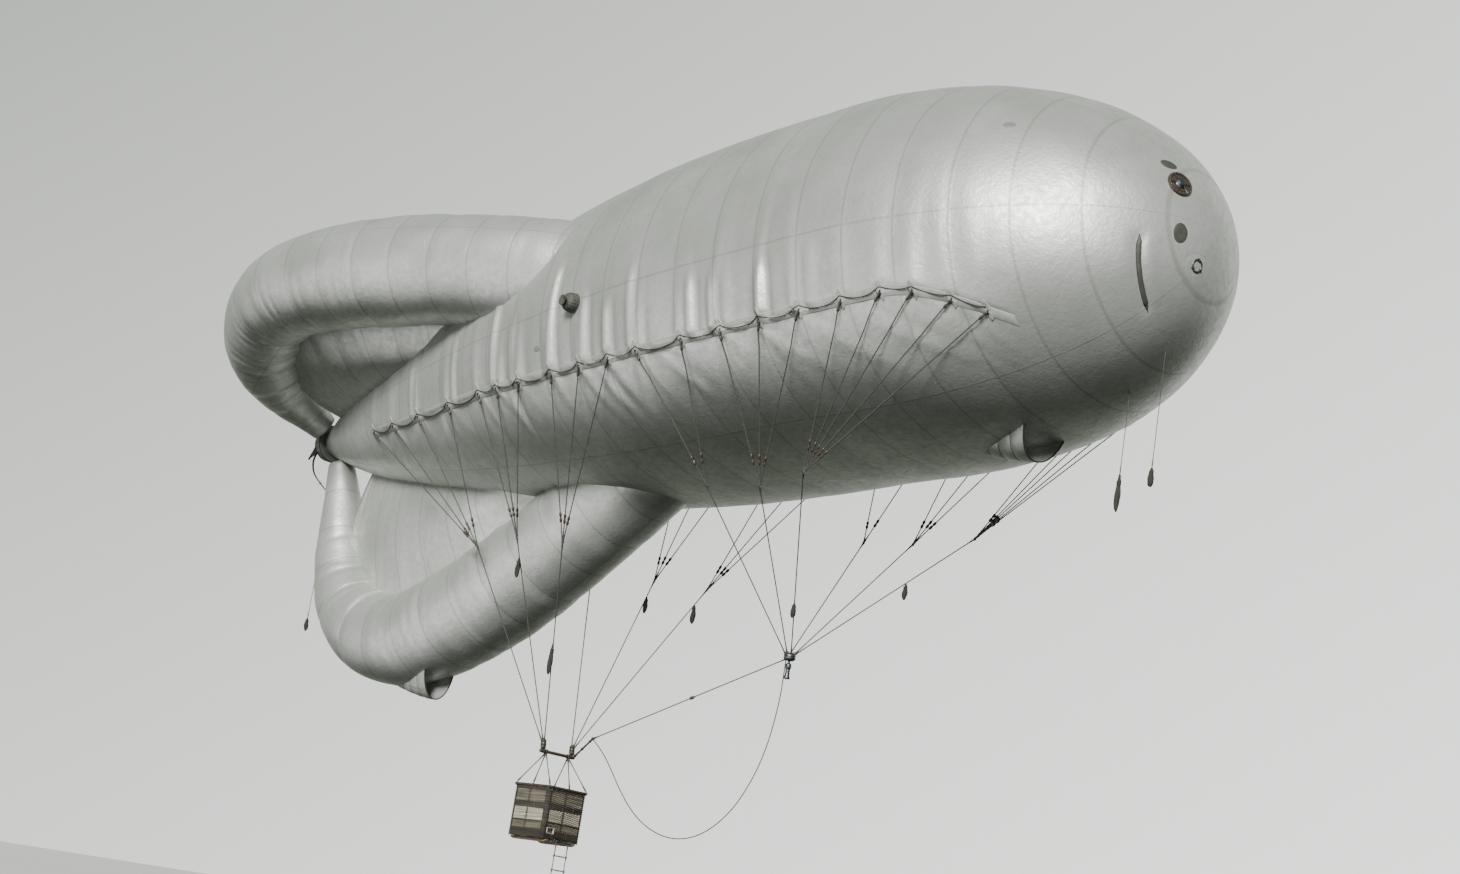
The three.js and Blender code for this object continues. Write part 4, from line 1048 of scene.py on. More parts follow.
def boltRing(centre, axis, radius, count, head, height):
    first, second = crossAxes(unit(axis))
    profile = [(0.002, -0.004), (head, -0.004), (head, height * 0.7), (head * 0.6, height), (0.002, height)]
    parts = []
    for k in range(count):
        t = 2 * math.pi * k / count
        at = np.asarray(centre, float) + radius * (first * math.cos(t) + second * math.sin(t))
        parts.append(turned(profile, at, axis, 6))
    return parts


def spokesOf(normal, count, start=0.0):
    # Directions that point outwards, evenly round the normal
    side = unit(np.cross(normal, [0, 0, 1]))
    other = np.cross(normal, side)
    turns = (math.pi * 2 * k / count + start for k in range(count))
    return [side * math.cos(t) + other * math.sin(t) for t in turns]


valve = {"x": 9.23, "angle": 37, "rimBolts": 20, "rimRadius": 0.226, "spokes": 6, "spokeRadius": 0.007}
# Spoke's way from the dome to the rim: metres out from the middle, metres off the skin
spokeRoute = [(0.09, 0.05), (0.15, 0.036), (0.215, 0.034)]
valveFrame = [(0.006, -0.034), (0.25, -0.034), (0.25, 0.02), (0.243, 0.032), (0.225, 0.036), (0.206, 0.031),
              (0.2, 0.014), (0.168, 0.011), (0.162, 0.02), (0.11, 0.022), (0.006, 0.022)]
valveDome = [(0.006, 0.018), (0.108, 0.018), (0.11, 0.032), (0.098, 0.04), (0.086, 0.062), (0.07, 0.084),
             (0.045, 0.09), (0.006, 0.091)]


def gasValve():
    seat = hullPoint(valve["x"], valve["angle"])
    normal = hullNormal(valve["x"], valve["angle"])
    parts = [(*turned(valveFrame, seat, normal, 48), 0), (*turned(valveDome, seat, normal, 36), 1)]
    parts += [(*bolt, 1) for bolt in boltRing(seat + normal * 0.034, normal, valve["rimRadius"],
                                              valve["rimBolts"], 0.009, 0.008)]
    for out in spokesOf(normal, valve["spokes"]):
        route = [seat + out * far + normal * up for far, up in spokeRoute]
        parts.append((*tube(smoothRoute(route, 12), valve["spokeRadius"], 6), 1))
    addPiece("gas_valve_assembly", [flown(part) for part in parts], [darkAsh, steel], "balloon",
             replaces=["gas_valve"], sharp=35)


gasValve()

nosePatches = [  # half-width and half-height in metres, finish
    {"name": "ring", "x": 9.33, "angle": -58, "wide": 0.3, "tall": 0.24, "finish": 0},
    {"name": "vent", "x": 9.29, "angle": -16.6, "wide": 0.15, "tall": 0.2, "finish": 1},
    {"name": "valve_upper", "x": 9.05, "angle": 48, "wide": 0.17, "tall": 0.1, "finish": 1},
]
flankPatches = [  # half-length fore and aft, half-height round the body
    {"name": "upper", "x": 6.81, "angle": 33, "wide": 0.12, "tall": 0.09},
    {"name": "aft", "x": -4.21, "angle": -11, "wide": 0.13, "tall": 0.07},
]
patchShape = {"rings": 9, "sides": 44, "lift": 0.012, "edgeDrop": 0.016, "stitchAt": 0.86,
              "stitchDepth": 0.004}
# Edge of the ripping panel: a dark tape up the side of the nose, laid in the slit; its dark colour is partly
# painted shade of the slit
ripEdge = {"fromX": 8.87, "fromAngle": -15, "toX": 8.65, "toAngle": -60, "half": 0.04, "lift": 0.012,
           "rows": 60}
noseRing = {"x": 9.33, "angle": -58, "radius": 0.11, "tube": 0.022, "sink": 0.024, "straps": 3,
            "strapRadius": 0.03, "strapThickness": 0.01}


def noseSkin(y, z, lift):
    # The dressed skin of the nose at a given side and height
    y, z = np.asarray(y, float), np.asarray(z, float)
    x = np.full(y.shape, 9.2)  # first guess, close to every patch
    for _ in range(6):
        waist, keep = belly(x)
        height = np.where(z < waist, waist + (z - waist) / keep, z)
        reach = np.clip(np.hypot(y, height) / hull["radius"], 0, 0.999)
        x = shoulder + hull["noseLength"] * np.sqrt(1 - reach ** 2)
    return clothPoint(x, np.degrees(np.arctan2(height, -y)), lift)


def clothDisc(row, onNose):
    seat = hullPoint(row["x"], row["angle"])
    rings, sides = patchShape["rings"], patchShape["sides"]
    share = np.linspace(0.04, 1, rings)[:, None]
    turn = turnsOf(sides)[None]
    across = row["wide"] * share * np.cos(turn)
    above = row["tall"] * share * np.sin(turn)
    stitch = patchShape["stitchDepth"] * bell(share - patchShape["stitchAt"], 0.03)
    lift = patchShape["lift"] - patchShape["edgeDrop"] * share ** 8 - stitch + 0 * turn

    def skin(height):
        if onNose:
            return noseSkin(seat[1] + across, seat[2] + above, height)
        return clothPoint(row["x"] + across, row["angle"] + np.degrees(above / hullRadius(row["x"])), height)

    top = skin(lift)
    under = skin(lift * 0 - 0.02)
    count = rings * sides
    faces = gridFaces(rings, sides)
    faces += [[count + k for k in reversed(face)] for face in faces]
    last = (rings - 1) * sides
    for k in range(sides):
        nextK = (k + 1) % sides
        faces.append([last + k, last + count + k, last + count + nextK, last + nextK])
        faces.append([k, nextK, 2 * count])
        faces.append([count + k, 2 * count + 1, count + nextK])
    centres = np.stack([top[0].mean(0), under[0].mean(0)])
    points = np.vstack([top.reshape(-1, 3), under.reshape(-1, 3), centres])
    return points, faces


for row in nosePatches:
    points, faces = clothDisc(row, True)
    addPiece(f"nose_patch_{row['name']}", [(points, faces)], [paleTape, darkTape][row["finish"]], "balloon")
for row in flankPatches:
    points, faces = clothDisc(row, False)
    addPiece(f"flank_patch_{row['name']}", [(points, faces)], tape, "balloon")


def ripPanelEdge():
    share = np.linspace(0, 1, ripEdge["rows"])[:, None]
    x = ripEdge["fromX"] + (ripEdge["toX"] - ripEdge["fromX"]) * share
    angle = ripEdge["fromAngle"] + (ripEdge["toAngle"] - ripEdge["fromAngle"]) * share
    taper = np.clip(np.sin(math.pi * share) * 3, 0.15, 1)
    across = np.array([-1, -0.8, 0.8, 1])[None] * ripEdge["half"] * taper
    lift = np.array([-1, 1, 1, -1])[None] * ripEdge["lift"] + 0 * x
    points = clothPoint(x + across, angle + 0 * across, lift)
    low = clothPoint(x + across * 0.9, angle + 0 * across, lift * 0 - 0.03)
    rings = np.concatenate([points, low[:, ::-1]], 1)
    faces = gridFaces(ripEdge["rows"], 8, ends="flat")
    # The dark tape lies in the slit, so its colour also paints the shade inside the slit
    addPiece("rip_panel_edge", [(rings.reshape(-1, 3), faces)], darkTape, "balloon")


ripPanelEdge()


def noseLineRing():
    normal = hullNormal(noseRing["x"], noseRing["angle"])
    seat = hullPoint(noseRing["x"], noseRing["angle"]) - normal * (noseRing["sink"] - 0.02)
    parts = [(*ringShape(seat, normal, noseRing["radius"], noseRing["tube"], 36, 12), 0)]
    turn = np.linspace(0, 2 * math.pi, 17)[:, None]
    for out in spokesOf(normal, noseRing["straps"], 0.5):
        loop = out * np.cos(turn) + normal * np.sin(turn)
        loop = seat + out * noseRing["radius"] + noseRing["strapRadius"] * loop
        parts.append((*tube(loop, noseRing["strapThickness"], 8), 1))
    addPiece("nose_ring_and_beckets", [flown(part) for part in parts], [steel, darkHemp], "balloon",
             replaces=["nose_line_ring"])


noseLineRing()

sleeve = {"x": -2.94, "angle": -1, "pleats": 18, "tieAt": 0.257, "tieRadius": 0.064, "tieLine": 0.009,
          "tiePitch": 0.016, "footRadius": 0.2, "footRoll": 0.012}
# Radius, height off the skin, depth of the pleats
sleeveShape = [(0.19, -0.08, 0), (0.196, 0.0, 0.01), (0.2, 0.06, 0.02), (0.198, 0.115, 0.035),
               (0.19, 0.16, 0.05), (0.168, 0.205, 0.09), (0.12, 0.236, 0.16), (0.062, 0.257, 0.24),
               (0.072, 0.275, 0.3), (0.09, 0.305, 0.34), (0.104, 0.328, 0.36), (0.08, 0.322, 0.3),
               (0.05, 0.3, 0.2), (0.006, 0.285, 0)]
sleeveTail = [(0.0, 0.0, 0.0), (0.015, -0.02, -0.06), (0.02, -0.012, -0.14), (0.012, 0.0, -0.2)]


def inflationSleeve():
    seat = hullPoint(sleeve["x"], sleeve["angle"])
    normal = hullNormal(sleeve["x"], sleeve["angle"])
    parts = [(*gathered(sleeveShape, seat, normal, sleeve["pleats"]), 0)]
    ties = [seat + normal * (sleeve["tieAt"] + sleeve["tiePitch"] * (k - 1)) for k in range(3)]
    parts += whipping(ties, normal, sleeve["tieRadius"], sleeve["tieLine"], 1, 24)
    knot = seat + normal * sleeve["tieAt"] + np.array([0.075, 0, 0])
    fall = [knot + np.array(step) for step in sleeveTail]
    parts.append((*tube(smoothRoute(fall, 16), 0.008, 6), 1))
    foot = seat + normal * sleeve["footRoll"]
    parts.append((*ringShape(foot, normal, sleeve["footRadius"], sleeve["footRoll"], 40, 8), 2))
    addPiece("sleeve_tied_cloth", [flown(part) for part in parts], [darkTape, darkHemp, tape], "balloon",
             replaces=["inflation_sleeve"])


inflationSleeve()

tailCap = {"pleats": 16, "lacing": 0.011, "lacings": [(-15.48, 0.474), (-15.76, 0.372)]}
tailCapShape = [(0.4, 15.452, 0), (0.468, 15.452, 0.005), (0.47, 15.48, 0.01), (0.452, 15.56, 0.02),
                (0.416, 15.66, 0.03), (0.376, 15.735, 0.05), (0.33, 15.81, 0.07), (0.27, 15.89, 0.1),
                (0.188, 15.965, 0.14), (0.09, 16.005, 0.16), (0.006, 16.018, 0)]


def tailCapPiece():
    back = np.array([-1.0, 0, 0])
    parts = [(*gathered(tailCapShape, (0, 0, 0), back, tailCap["pleats"]), 0)]
    for along, radius in tailCap["lacings"]:
        parts += whipping([[along, 0, 0]], back, radius, tailCap["lacing"], 1, 60)
    addPiece("tail_cap_cloth", [flown(part) for part in parts], [tape, darkHemp], "balloon",
             replaces=["tail_cap"])


tailCapPiece()

# Handling lines: where each hangs from, free length, length of its hank
handlingLines = [
    {"name": "nose_fore", "x": 8.45, "angle": -88, "lift": 0.0, "length": 2.1, "hank": 0.36, "seed": 5},
    {"name": "nose_aft", "x": 7.6, "angle": -92, "lift": 0.0, "length": 1.5, "hank": 0.72, "seed": 6},
    {"name": "tail", "at": (-15.36, 0.0, -1.35), "length": 3.02, "hank": 0.34, "seed": 7},
]


def handlingLine(row):
    top = inFlight(row["at"]) if "at" in row else clothPoint(row["x"], row["angle"], 0.004)
    end = top - upward * row["length"]
    parts = [(*laidRope([top + upward * 0.02, end], 0.008, (True, True), 0.16), 0),
             (*ringShape(top - upward * 0.03, (0, 1, 0), 0.02, 0.008, 16, 6), 1)]
    parts += hankParts(end, row["hank"], row["seed"], 1)
    addPiece(f"handling_line_{row['name']}", parts, [hemp, darkHemp], "balloon")


for row in handlingLines:
    handlingLine(row)

# Tail flap: a loose triangle of doubled cloth behind the cap
tailFlap = {"root": [(-15.86, -0.24, 0.12), (-15.92, -0.2, -0.2)], "tip": (-16.3, -0.12, -0.3), "rows": 14,
            "columns": 10, "thickness": 0.008, "wave": 0.02, "hem": 0.009}
# Webbing strap from the cap down to the rudder's rear leg
tailStrap = {"wide": 0.055, "thick": 0.006, "buckleAt": 24, "buckle": 0.035,
             "route": [(-15.98, -0.1, -0.08), (-16.12, -0.1, -0.36), (-16.04, -0.1, -0.66),
                       (-15.72, -0.06, -1.02), (-15.3, -0.02, -1.38)]}


def tailFlapPiece():
    upper, lower, tip = (np.array(p, float) for p in (*tailFlap["root"], tailFlap["tip"]))
    rows, columns = tailFlap["rows"], tailFlap["columns"]
    share = np.linspace(0, 0.97, rows)[:, None, None]
    across = np.linspace(0, 1, columns)[None, :, None]
    sheet = (upper * (1 - across) + lower * across) * (1 - share) + tip * share
    sheet = sheet + np.array([0, 1.0, 0]) * (tailFlap["wave"] * np.sin(across * 7 + share * 5) * share ** 0.5)
    flat = sheet.reshape(-1, 3)
    back = flat + np.array([0, tailFlap["thickness"], 0])
    hem = np.vstack([sheet[:, 0], sheet[::-1, -1]]) + np.array([0, tailFlap["thickness"] / 2, 0])
    parts = [(np.vstack([flat, back]), clothFaces(rows, columns), 0), (*tube(hem, tailFlap["hem"], 6), 1)]
    addPiece("tail_flap", [flown(part) for part in parts], [darkTape, darkHemp], "balloon")


def tailStrapPiece():
    route = smoothRoute(tailStrap["route"], 40)
    along = np.gradient(route, axis=0)
    along /= np.linalg.norm(along, axis=1)[:, None]
    wide = np.array([0, 1.0, 0]) * tailStrap["wide"] / 2
    thick = np.cross(along, [0, 1.0, 0]) * tailStrap["thick"] / 2
    rings = np.stack([route + wide + thick, route - wide + thick, route - wide - thick, route + wide - thick],
                     1)
    at = tailStrap["buckleAt"]
    buckle = ringShape(route[at], along[at], tailStrap["buckle"], 0.006, 16, 6)
    parts = [(rings.reshape(-1, 3), gridFaces(len(route), 4, ends="flat"), 0), (*buckle, 1)]
    addPiece("tail_strap", [flown(part) for part in parts], [darkTape, steel], "balloon",
             sharp=30)


tailFlapPiece()
tailStrapPiece()

# Scoops: stations of mouth and back, how far the mouth's top rakes forward, heights of its top, lip and back
scoops = [
    {"name": "belly_scoop", "mouth": 5.62, "rake": 0.4, "back": 4.33, "width": 1.38, "topZ": -2.6,
     "mouthZ": -3.66, "backZ": -3.3},
    {"name": "rudder_scoop", "mouth": -10.7, "rake": 0.15, "back": -12.05, "width": 0.9, "topZ": -5.7,
     "mouthZ": -6.78, "backZ": -6.35},
]
scoopCloth = {"skin": 0.012, "taper": 0.72, "rows": 44, "around": 61, "billow": 0.016, "panels": 4,
              "hem": 0.015, "rib": 0.007}


def scoopPoint(row, share, turn, shrink):
    half = row["width"] / 2 * (1 - scoopCloth["taper"] * share) - shrink
    bottom = row["mouthZ"] + (row["backZ"] - row["mouthZ"]) * share ** 1.3 + shrink
    depth = np.sin(np.clip(turn, 1e-5, math.pi - 1e-5)) ** 0.7
    billow = scoopCloth["billow"] * (np.abs(np.sin(share * math.pi * scoopCloth["panels"])) ** 0.7 - 0.5)
    billow = billow * np.clip(share * 6, 0, 1) * depth
    forward = row["rake"] * (1 - depth) * (1 - share)
    x = row["mouth"] + (row["back"] - row["mouth"]) * share + forward
    z = row["topZ"] + (bottom - billow - row["topZ"]) * depth
    return np.stack([x + 0 * turn, (half + billow) * np.cos(turn), z], -1)


def scoopPiece(row):
    share = np.linspace(0, 1, scoopCloth["rows"])[:, None]
    turn = np.linspace(0, math.pi, scoopCloth["around"])[None]
    outside = scoopPoint(row, share, turn, 0.0)
    inside = scoopPoint(row, share, turn, scoopCloth["skin"])
    rows, columns = scoopCloth["rows"], scoopCloth["around"]
    points = np.vstack([outside.reshape(-1, 3), inside.reshape(-1, 3)])
    backFaces = [[k, k + 1, columns] for k in range(columns - 1)]
    backWall = np.vstack([outside[-1], outside[-1].mean(0)[None]])
    thick = backWall + np.array([scoopCloth["skin"], 0, 0])
    number = len(backWall)
    backFaces += [[number + k for k in reversed(face)] for face in backFaces]
    backFaces += [[k, number + k, number + k + 1, k + 1] for k in range(columns - 1)]
    hem = outside[0] * 0.5 + inside[0] * 0.5
    parts = [(points, clothFaces(rows, columns), 0), (np.vstack([backWall, thick]), backFaces, 0),
             (*tube(hem, scoopCloth["hem"], 8), 1)]
    for at in range(1, scoopCloth["panels"]):
        rib = outside[round(at * (rows - 1) / scoopCloth["panels"])]
        parts.append((*tube(rib, scoopCloth["rib"], 6), 1))
    metres = np.zeros((sum(len(part[0]) for part in parts), 2))
    onHood = np.stack([share * 1.3 + 0 * turn, turn * row["width"] / 2 + 0 * share], -1).reshape(-1, 2)
    metres[:len(points)] = np.vstack([onHood, onHood])
    addPiece(f"{row['name']}_hood", [flown(part) for part in parts], [fabric, darkHemp], "balloon",
             replaces=[row["name"]], metres=metres)


for row in scoops:
    scoopPiece(row)
print("fittings made")

# What hangs below: blocks, bar, link rope, mooring plate, swivel and cable socket
def collar(profile, centre, axis, sides=28):
    # A lathe ring: the profile of radius and height closes on itself, and the middle stays open
    points = turned(profile, centre, axis, sides)[0][:-2]
    return points, gridFaces(len(profile), sides, ends="loop")


blockShape = [(0.006, -0.105), (0.04, -0.105), (0.05, -0.098), (0.062, -0.06), (0.062, -0.034),
              (0.052, -0.026), (0.052, -0.014), (0.062, -0.006), (0.062, 0.03), (0.053, 0.04), (0.053, 0.052),
              (0.06, 0.06), (0.052, 0.09), (0.04, 0.103), (0.006, 0.105)]


def stayBlockPiece(side, sign):
    centre = np.array([bar["x"], sign * stayBlock["inset"], bar["z"] + stayBlock["rise"]])
    parts = [(*turned(blockShape, centre, (0, 0, 1), 28), 0)]
    for at, radius in ((-0.02, 0.055), (0.046, 0.056)):
        parts += whipping([centre + upward * at], upward, radius, 0.008, 1)
    foot = np.array([bar["x"], centre[1], bar["z"] + bar["radius"] + 0.001])
    for shift in (-0.011, 0.011):
        route = straight(foot + np.array([shift, 0, 0]), centre + np.array([shift, 0, -0.09]), 12)
        parts.append((*laidRope(route, 0.012, (False, False)), 1))
    for slot in range(3):
        eye = centre + np.array([(slot - 1) * stayBlock["spread"], sign * stayBlock["out"], 0.108])
        parts.append((*ringShape(eye, (0, 1, 0), 0.014, 0.006, 16, 6), 2))
    addPiece(f"stay_block_{side}_turned", [flown(part) for part in parts], [darkAsh, darkHemp, steel],
             "balloon", replaces=[f"stay_block_{side}"], sharp=40)


for side, sign in bothSides:
    stayBlockPiece(side, sign)


def trapezeBar():
    half, r = bar["halfLength"], bar["radius"]
    centre = np.array([bar["x"], 0, bar["z"]])
    profile = [(0.006, -half), (r * 0.8, -half), (r, -half + 0.008), (r, -half + 0.05),
               (r * 0.93, -half + 0.054), (r * 0.97, -0.2)]
    parts = [(*turned(mirrored(profile, [(r, 0.0)]), centre, (0, 1, 0), 32), 0)]
    for y in (-half + 0.028, half - 0.028):
        ferrule = mirrored([(r + 0.0005, -0.02), (r + 0.0025, -0.02)])
        parts.append((*collar(ferrule, centre + np.array([0, y, 0]), (0, 1, 0), 32), 1))
    # Three turns of line on each side of each block's rope
    places = [centre + np.array([0, y + 0.009 * (k - 1), 0]) for y in (-0.405, -0.435, 0.405, 0.435)
              for k in range(3)]
    parts += whipping(places, (0, 1, 0), r + 0.003, 0.005, 2)
    root = centre + np.array([0, horn["y"], 0])
    tip = root + np.array([horn["x"], 0, horn["z"]])
    along = unit(tip - root)
    reach = float(np.linalg.norm(tip - root))
    rod = [(0.006, 0.0), (horn["radius"], 0.0), (0.025, 0.1), (0.021, 0.2), (0.022, 0.42), (0.02, 0.55),
           (0.022, reach - 0.04), (0.03, reach - 0.03), (horn["knob"], reach - 0.012),
           (horn["knob"], reach + 0.012), (0.028, reach + 0.03), (0.006, reach + 0.036)]
    parts.append((*turned(rod, root, along, 24), 0))
    parts += whipping([root + along * at for at in horn["whippings"]], along, 0.026, 0.006, 2, 22)
    addPiece("trapeze_bar_turned", [flown(part) for part in parts], [darkAsh, steel, darkHemp], "balloon",
             replaces=["trapeze_bar"], sharp=40)


trapezeBar()


def linkRope():
    start = np.array([bar["x"] + horn["x"], horn["y"], bar["z"] + horn["z"]])
    end = np.array([plate["x"] + plate["linkX"], 0, plate["z"] + plate["linkZ"]])
    start, end = inFlight([start, end])
    beadAt = start + (end - start) * 0.53
    along = unit(end - start)
    bead = mirrored([(0.006, -0.07), (0.022, -0.066), (0.034, -0.03)], [(0.036, 0.0)])
    parts = [(*laidRope([start, end]), 0), (*turned(bead, beadAt, along, 20), 1)]
    parts += whipping([start + along * (0.045 + 0.018 * k) for k in range(4)], along, 0.016, 0.006, 2, 16)
    addPiece("link_rope_laid", parts, [hemp, darkAsh, darkHemp], "balloon",
             replaces=["link_rope"])


linkRope()

plateShape = [(0.006, -0.075), (0.07, -0.075), (0.084, -0.072), (0.1, -0.056), (0.117, -0.042),
              (0.12, -0.032), (0.12, -0.009), (0.105, -0.004), (0.105, 0.004), (0.12, 0.009), (0.12, 0.032),
              (0.116, 0.042), (0.1, 0.057), (0.084, 0.071), (0.06, 0.075), (0.055, 0.066), (0.006, 0.066)]
swivelShape = [(0.006, 0.0), (0.026, -0.0005), (0.026, -0.04), (0.034, -0.046), (0.043, -0.05),
               (0.05, -0.062), (0.061, -0.08), (0.062, -0.098), (0.056, -0.102), (0.056, -0.114),
               (0.062, -0.118), (0.062, -0.138), (0.05, -0.16), (0.043, -0.17), (0.006, -0.17)]
socketShape = [(0.006, -0.0003), (0.04, -0.0003), (0.046, -0.006), (0.046, -0.05), (0.042, -0.054),
               (0.042, -0.062), (0.046, -0.066), (0.046, -0.114), (0.054, -0.132), (0.062, -0.152),
               (0.062, -0.184), (0.058, -0.19), (0.006, -0.19)]
swivelBolt = [(0.002, -0.004), (0.008, -0.004), (0.008, 0.004), (0.005, 0.006), (0.002, 0.006)]
greaseCup = [(0.002, -0.006), (0.009, -0.006), (0.009, 0.008), (0.006, 0.012), (0.002, 0.012)]
swivel = {"gap": 0.0003, "length": 0.17, "boltDrop": 0.128, "boltOut": 0.06, "pinDrop": 0.09}


def mooringGear():
    parts = [turned(plateShape, plateCentre, upward, 48)]
    for sign in (-1, 1):
        for slot in range(3):
            t = math.radians(sign * (plate["firstEye"] - slot * plate["eyeStep"]))
            out = plate["eyeCircle"] * np.array([math.cos(t), math.sin(t), 0])
            at = plateCentre + out + upward * 0.082
            parts.append(ringShape(at, (-math.sin(t), math.cos(t), 0), 0.02, 0.007, 20, 8))
    parts += boltRing(plateCentre + upward * 0.066, upward, 0.035, 4, 0.009, 0.01)
    addPiece("mooring_plate_turned", parts, [steel], "balloon", replaces=["mooring_plate"],
             sharp=35)
    top = plateCentre - upward * (plate["height"] / 2 + swivel["gap"])
    parts = [turned(swivelShape, top, upward, 40)]
    for k in range(6):
        t = 2 * math.pi * k / 6
        out = np.array([math.cos(t), math.sin(t), 0])
        at = top + out * swivel["boltOut"] - upward * swivel["boltDrop"]
        parts.append(turned(swivelBolt, at, out, 6))
    parts.append(turned(greaseCup, top + np.array([0.058, 0, -0.088]), (1, 0, 0), 12))
    addPiece("swivel_turned", parts, [steel], "swivel", replaces=["mooring_swivel"], sharp=35)
    socketTop = top - upward * swivel["length"]
    pin = mirrored([(0.002, -0.056), (0.013, -0.056), (0.013, -0.05), (0.01, -0.05)])
    parts = [turned(socketShape, socketTop, upward, 40),
             turned(pin, socketTop - upward * swivel["pinDrop"], (1, 0, 0), 16)]
    addPiece("cable_socket_turned", parts, [steel], "swivel", replaces=["cable_socket"],
             sharp=35)


mooringGear()
print("mooring gear made")

# Basket: willow woven on stakes, darker waling bands, a bound rim, plank floor and runners
pivot = inFlight([bar["x"], 0, bar["z"]])
basket = {"half": 0.55, "wall": 0.034, "rimDrop": 0.76, "height": 1.02, "floorThickness": 0.032,
          "corner": 0.07, "strapFrom": 0.41, "strapTo": 0.47}
# Weave: rods' height, depth and sway between stakes, and points of each rod for each gap between stakes
weave = {"stakes": 84, "stake": 0.0072, "pitch": 0.0222, "high": 0.0121, "deep": 0.0062, "sway": 0.0098,
         "perGap": 3}
rim = {"half": 0.034, "high": 0.0272, "out": 0.565, "corner": 0.06, "steps": 528, "sides": 18, "lashings": 44,
       "lashing": 0.0042}
# Depths below the wall's top where the weave is light, and how light
weaveBands = [(0.07, 0.31, 1), (0.44, 0.69, 0), (0.73, 0.86, 1)]
foothold = {"y": -0.33, "width": 0.21, "height": 0.13, "above": 0.09, "frame": 0.014, "depth": 0.036}
rimZ = pivot[2] - basket["rimDrop"]
rimCentre = rimZ + 0.0003 + rim["high"]
floorTop = rimZ - basket["height"]


def roundedSquare(half, corner):
    # Corners first: points, outward directions and running length of a rounded square seen from above
    total = 8 * (half - corner) + 2 * math.pi * corner

    def at(s):
        s = np.asarray(s, float) % total
        side = total / 4
        k = np.floor(s / side).astype(int) % 4
        local = s - k * side
        flat = 2 * (half - corner)
        turn = np.clip((local - flat) / corner, 0, math.pi / 2)
        u = np.where(local < flat, local - flat / 2, flat / 2 + corner * np.sin(turn))
        v = np.where(local < flat, half, half - corner + corner * np.cos(turn))
        outU, outV = np.sin(turn), np.cos(turn)
        c, d = np.cos(k * math.pi / 2), np.sin(k * math.pi / 2)
        # side 0 is +X with u running to +Y
        point = np.stack([v * c - u * d, v * d + u * c], -1)
        out = np.stack([outV * c - outU * d, outV * d + outU * c], -1)
        return point, out
    return at, total


def rodAlong(route, out, high, deep, closed, sides=6):
    turn = turnsOf(sides)
    rings = (route[:, None] + out[:, None] * (deep * np.cos(turn))[None, :, None]
             + upward * (high * np.sin(turn))[None, :, None])
    if closed:
        return rings.reshape(-1, 3), gridFaces(len(route), sides, ends="loop")
    return np.vstack([rings.reshape(-1, 3), route[:1], route[-1:]]), gridFaces(len(route), sides, ends="fan")


def basketWalls():
    half = basket["half"] - basket["wall"] / 2
    at, total = roundedSquare(half, basket["corner"])
    gapLength = total / weave["stakes"]
    bottom = floorTop - basket["floorThickness"]
    rows = int((rimZ - bottom) / weave["pitch"])
    start = rimZ - rows * weave["pitch"] + weave["pitch"] / 2
    holeLow = floorTop + foothold["above"]
    holeHigh = holeLow + foothold["height"]
    flat = 2 * (half - basket["corner"])
    holeFrom = foothold["y"] - foothold["width"] / 2 + flat / 2
    holeTo = holeFrom + foothold["width"]
    points, faces, marks = [], [], []
    count = 0
    for row in range(rows):
        z = start + row * weave["pitch"]
        light = next((shade for low, high, shade in weaveBands if low < rimZ - z < high), 2)
        cut = holeLow - weave["high"] < z < holeHigh + weave["high"]
        steps = weave["stakes"] * weave["perGap"]
        s = np.arange(steps) / steps * total
        if cut:
            s = np.linspace(holeTo, total + holeFrom, steps)
        place, out = at(s)
        wave = np.cos(math.pi * (s / gapLength + row)) * weave["sway"] * (1.15 if light == 2 else 1.0)
        route = np.hstack([place + out * wave[:, None] + pivot[:2], np.full((len(s), 1), z)])
        outward = np.hstack([out, np.zeros((len(s), 1))])
        shape, shapeFaces = rodAlong(route, outward, weave["high"], weave["deep"], not cut)
        # Light only between the corners and clear of the strap down the middle of each side
        share = (s % (total / 4)) / flat
        dark = (share < 0.03) | (share > 0.97) | ((share > basket["strapFrom"]) & (share < basket["strapTo"]))
        points.append(shape)
        faces += [[count + k for k in face] for face in shapeFaces]
        grid = np.where(dark, 2, light)
        marks += [int(grid[min(len(s) - 1, face[0] // 6)]) for face in shapeFaces]
        count += len(shape)
    parts = [(np.vstack(points), faces, marks)]
    for k in range(weave["stakes"]):
        s = (k + 0.5) * gapLength
        place, out = at(np.array([s]))
        foot = np.array([pivot[0] + place[0, 0], pivot[1] + place[0, 1], bottom + 0.004])
        head = foot + upward * (rimZ - bottom - 0.006)
        spans = [(foot, head)]
        if holeFrom - 0.01 < s < holeTo + 0.01:
            spans = [(foot, np.array([*foot[:2], holeLow])), (np.array([*foot[:2], holeHigh]), head)]
        for low, high in spans:
            parts.append((*tube(straight(low, high, 4), weave["stake"], 6), 2))
    y, wide, tall, frameWidth, deep = (foothold[k] for k in ("y", "width", "height", "frame", "depth"))
    for shiftY, z, size in (
        (0, holeLow + frameWidth / 2, (deep, wide, frameWidth)),
        (0, holeHigh - frameWidth / 2, (deep, wide, frameWidth)),
        (-wide / 2 + frameWidth / 2, (holeLow + holeHigh) / 2, (deep, frameWidth, tall)),
        (wide / 2 - frameWidth / 2, (holeLow + holeHigh) / 2, (deep, frameWidth, tall)),
    ):
        parts.append((*roundBox((pivot[0] + half, y + shiftY, z), size, 0.005), 0))
    addPiece("basket_weave", parts, [buffWillow, paleWillow, brownWillow], "basket",
             replaces=["basket_walls"])


basketWalls()


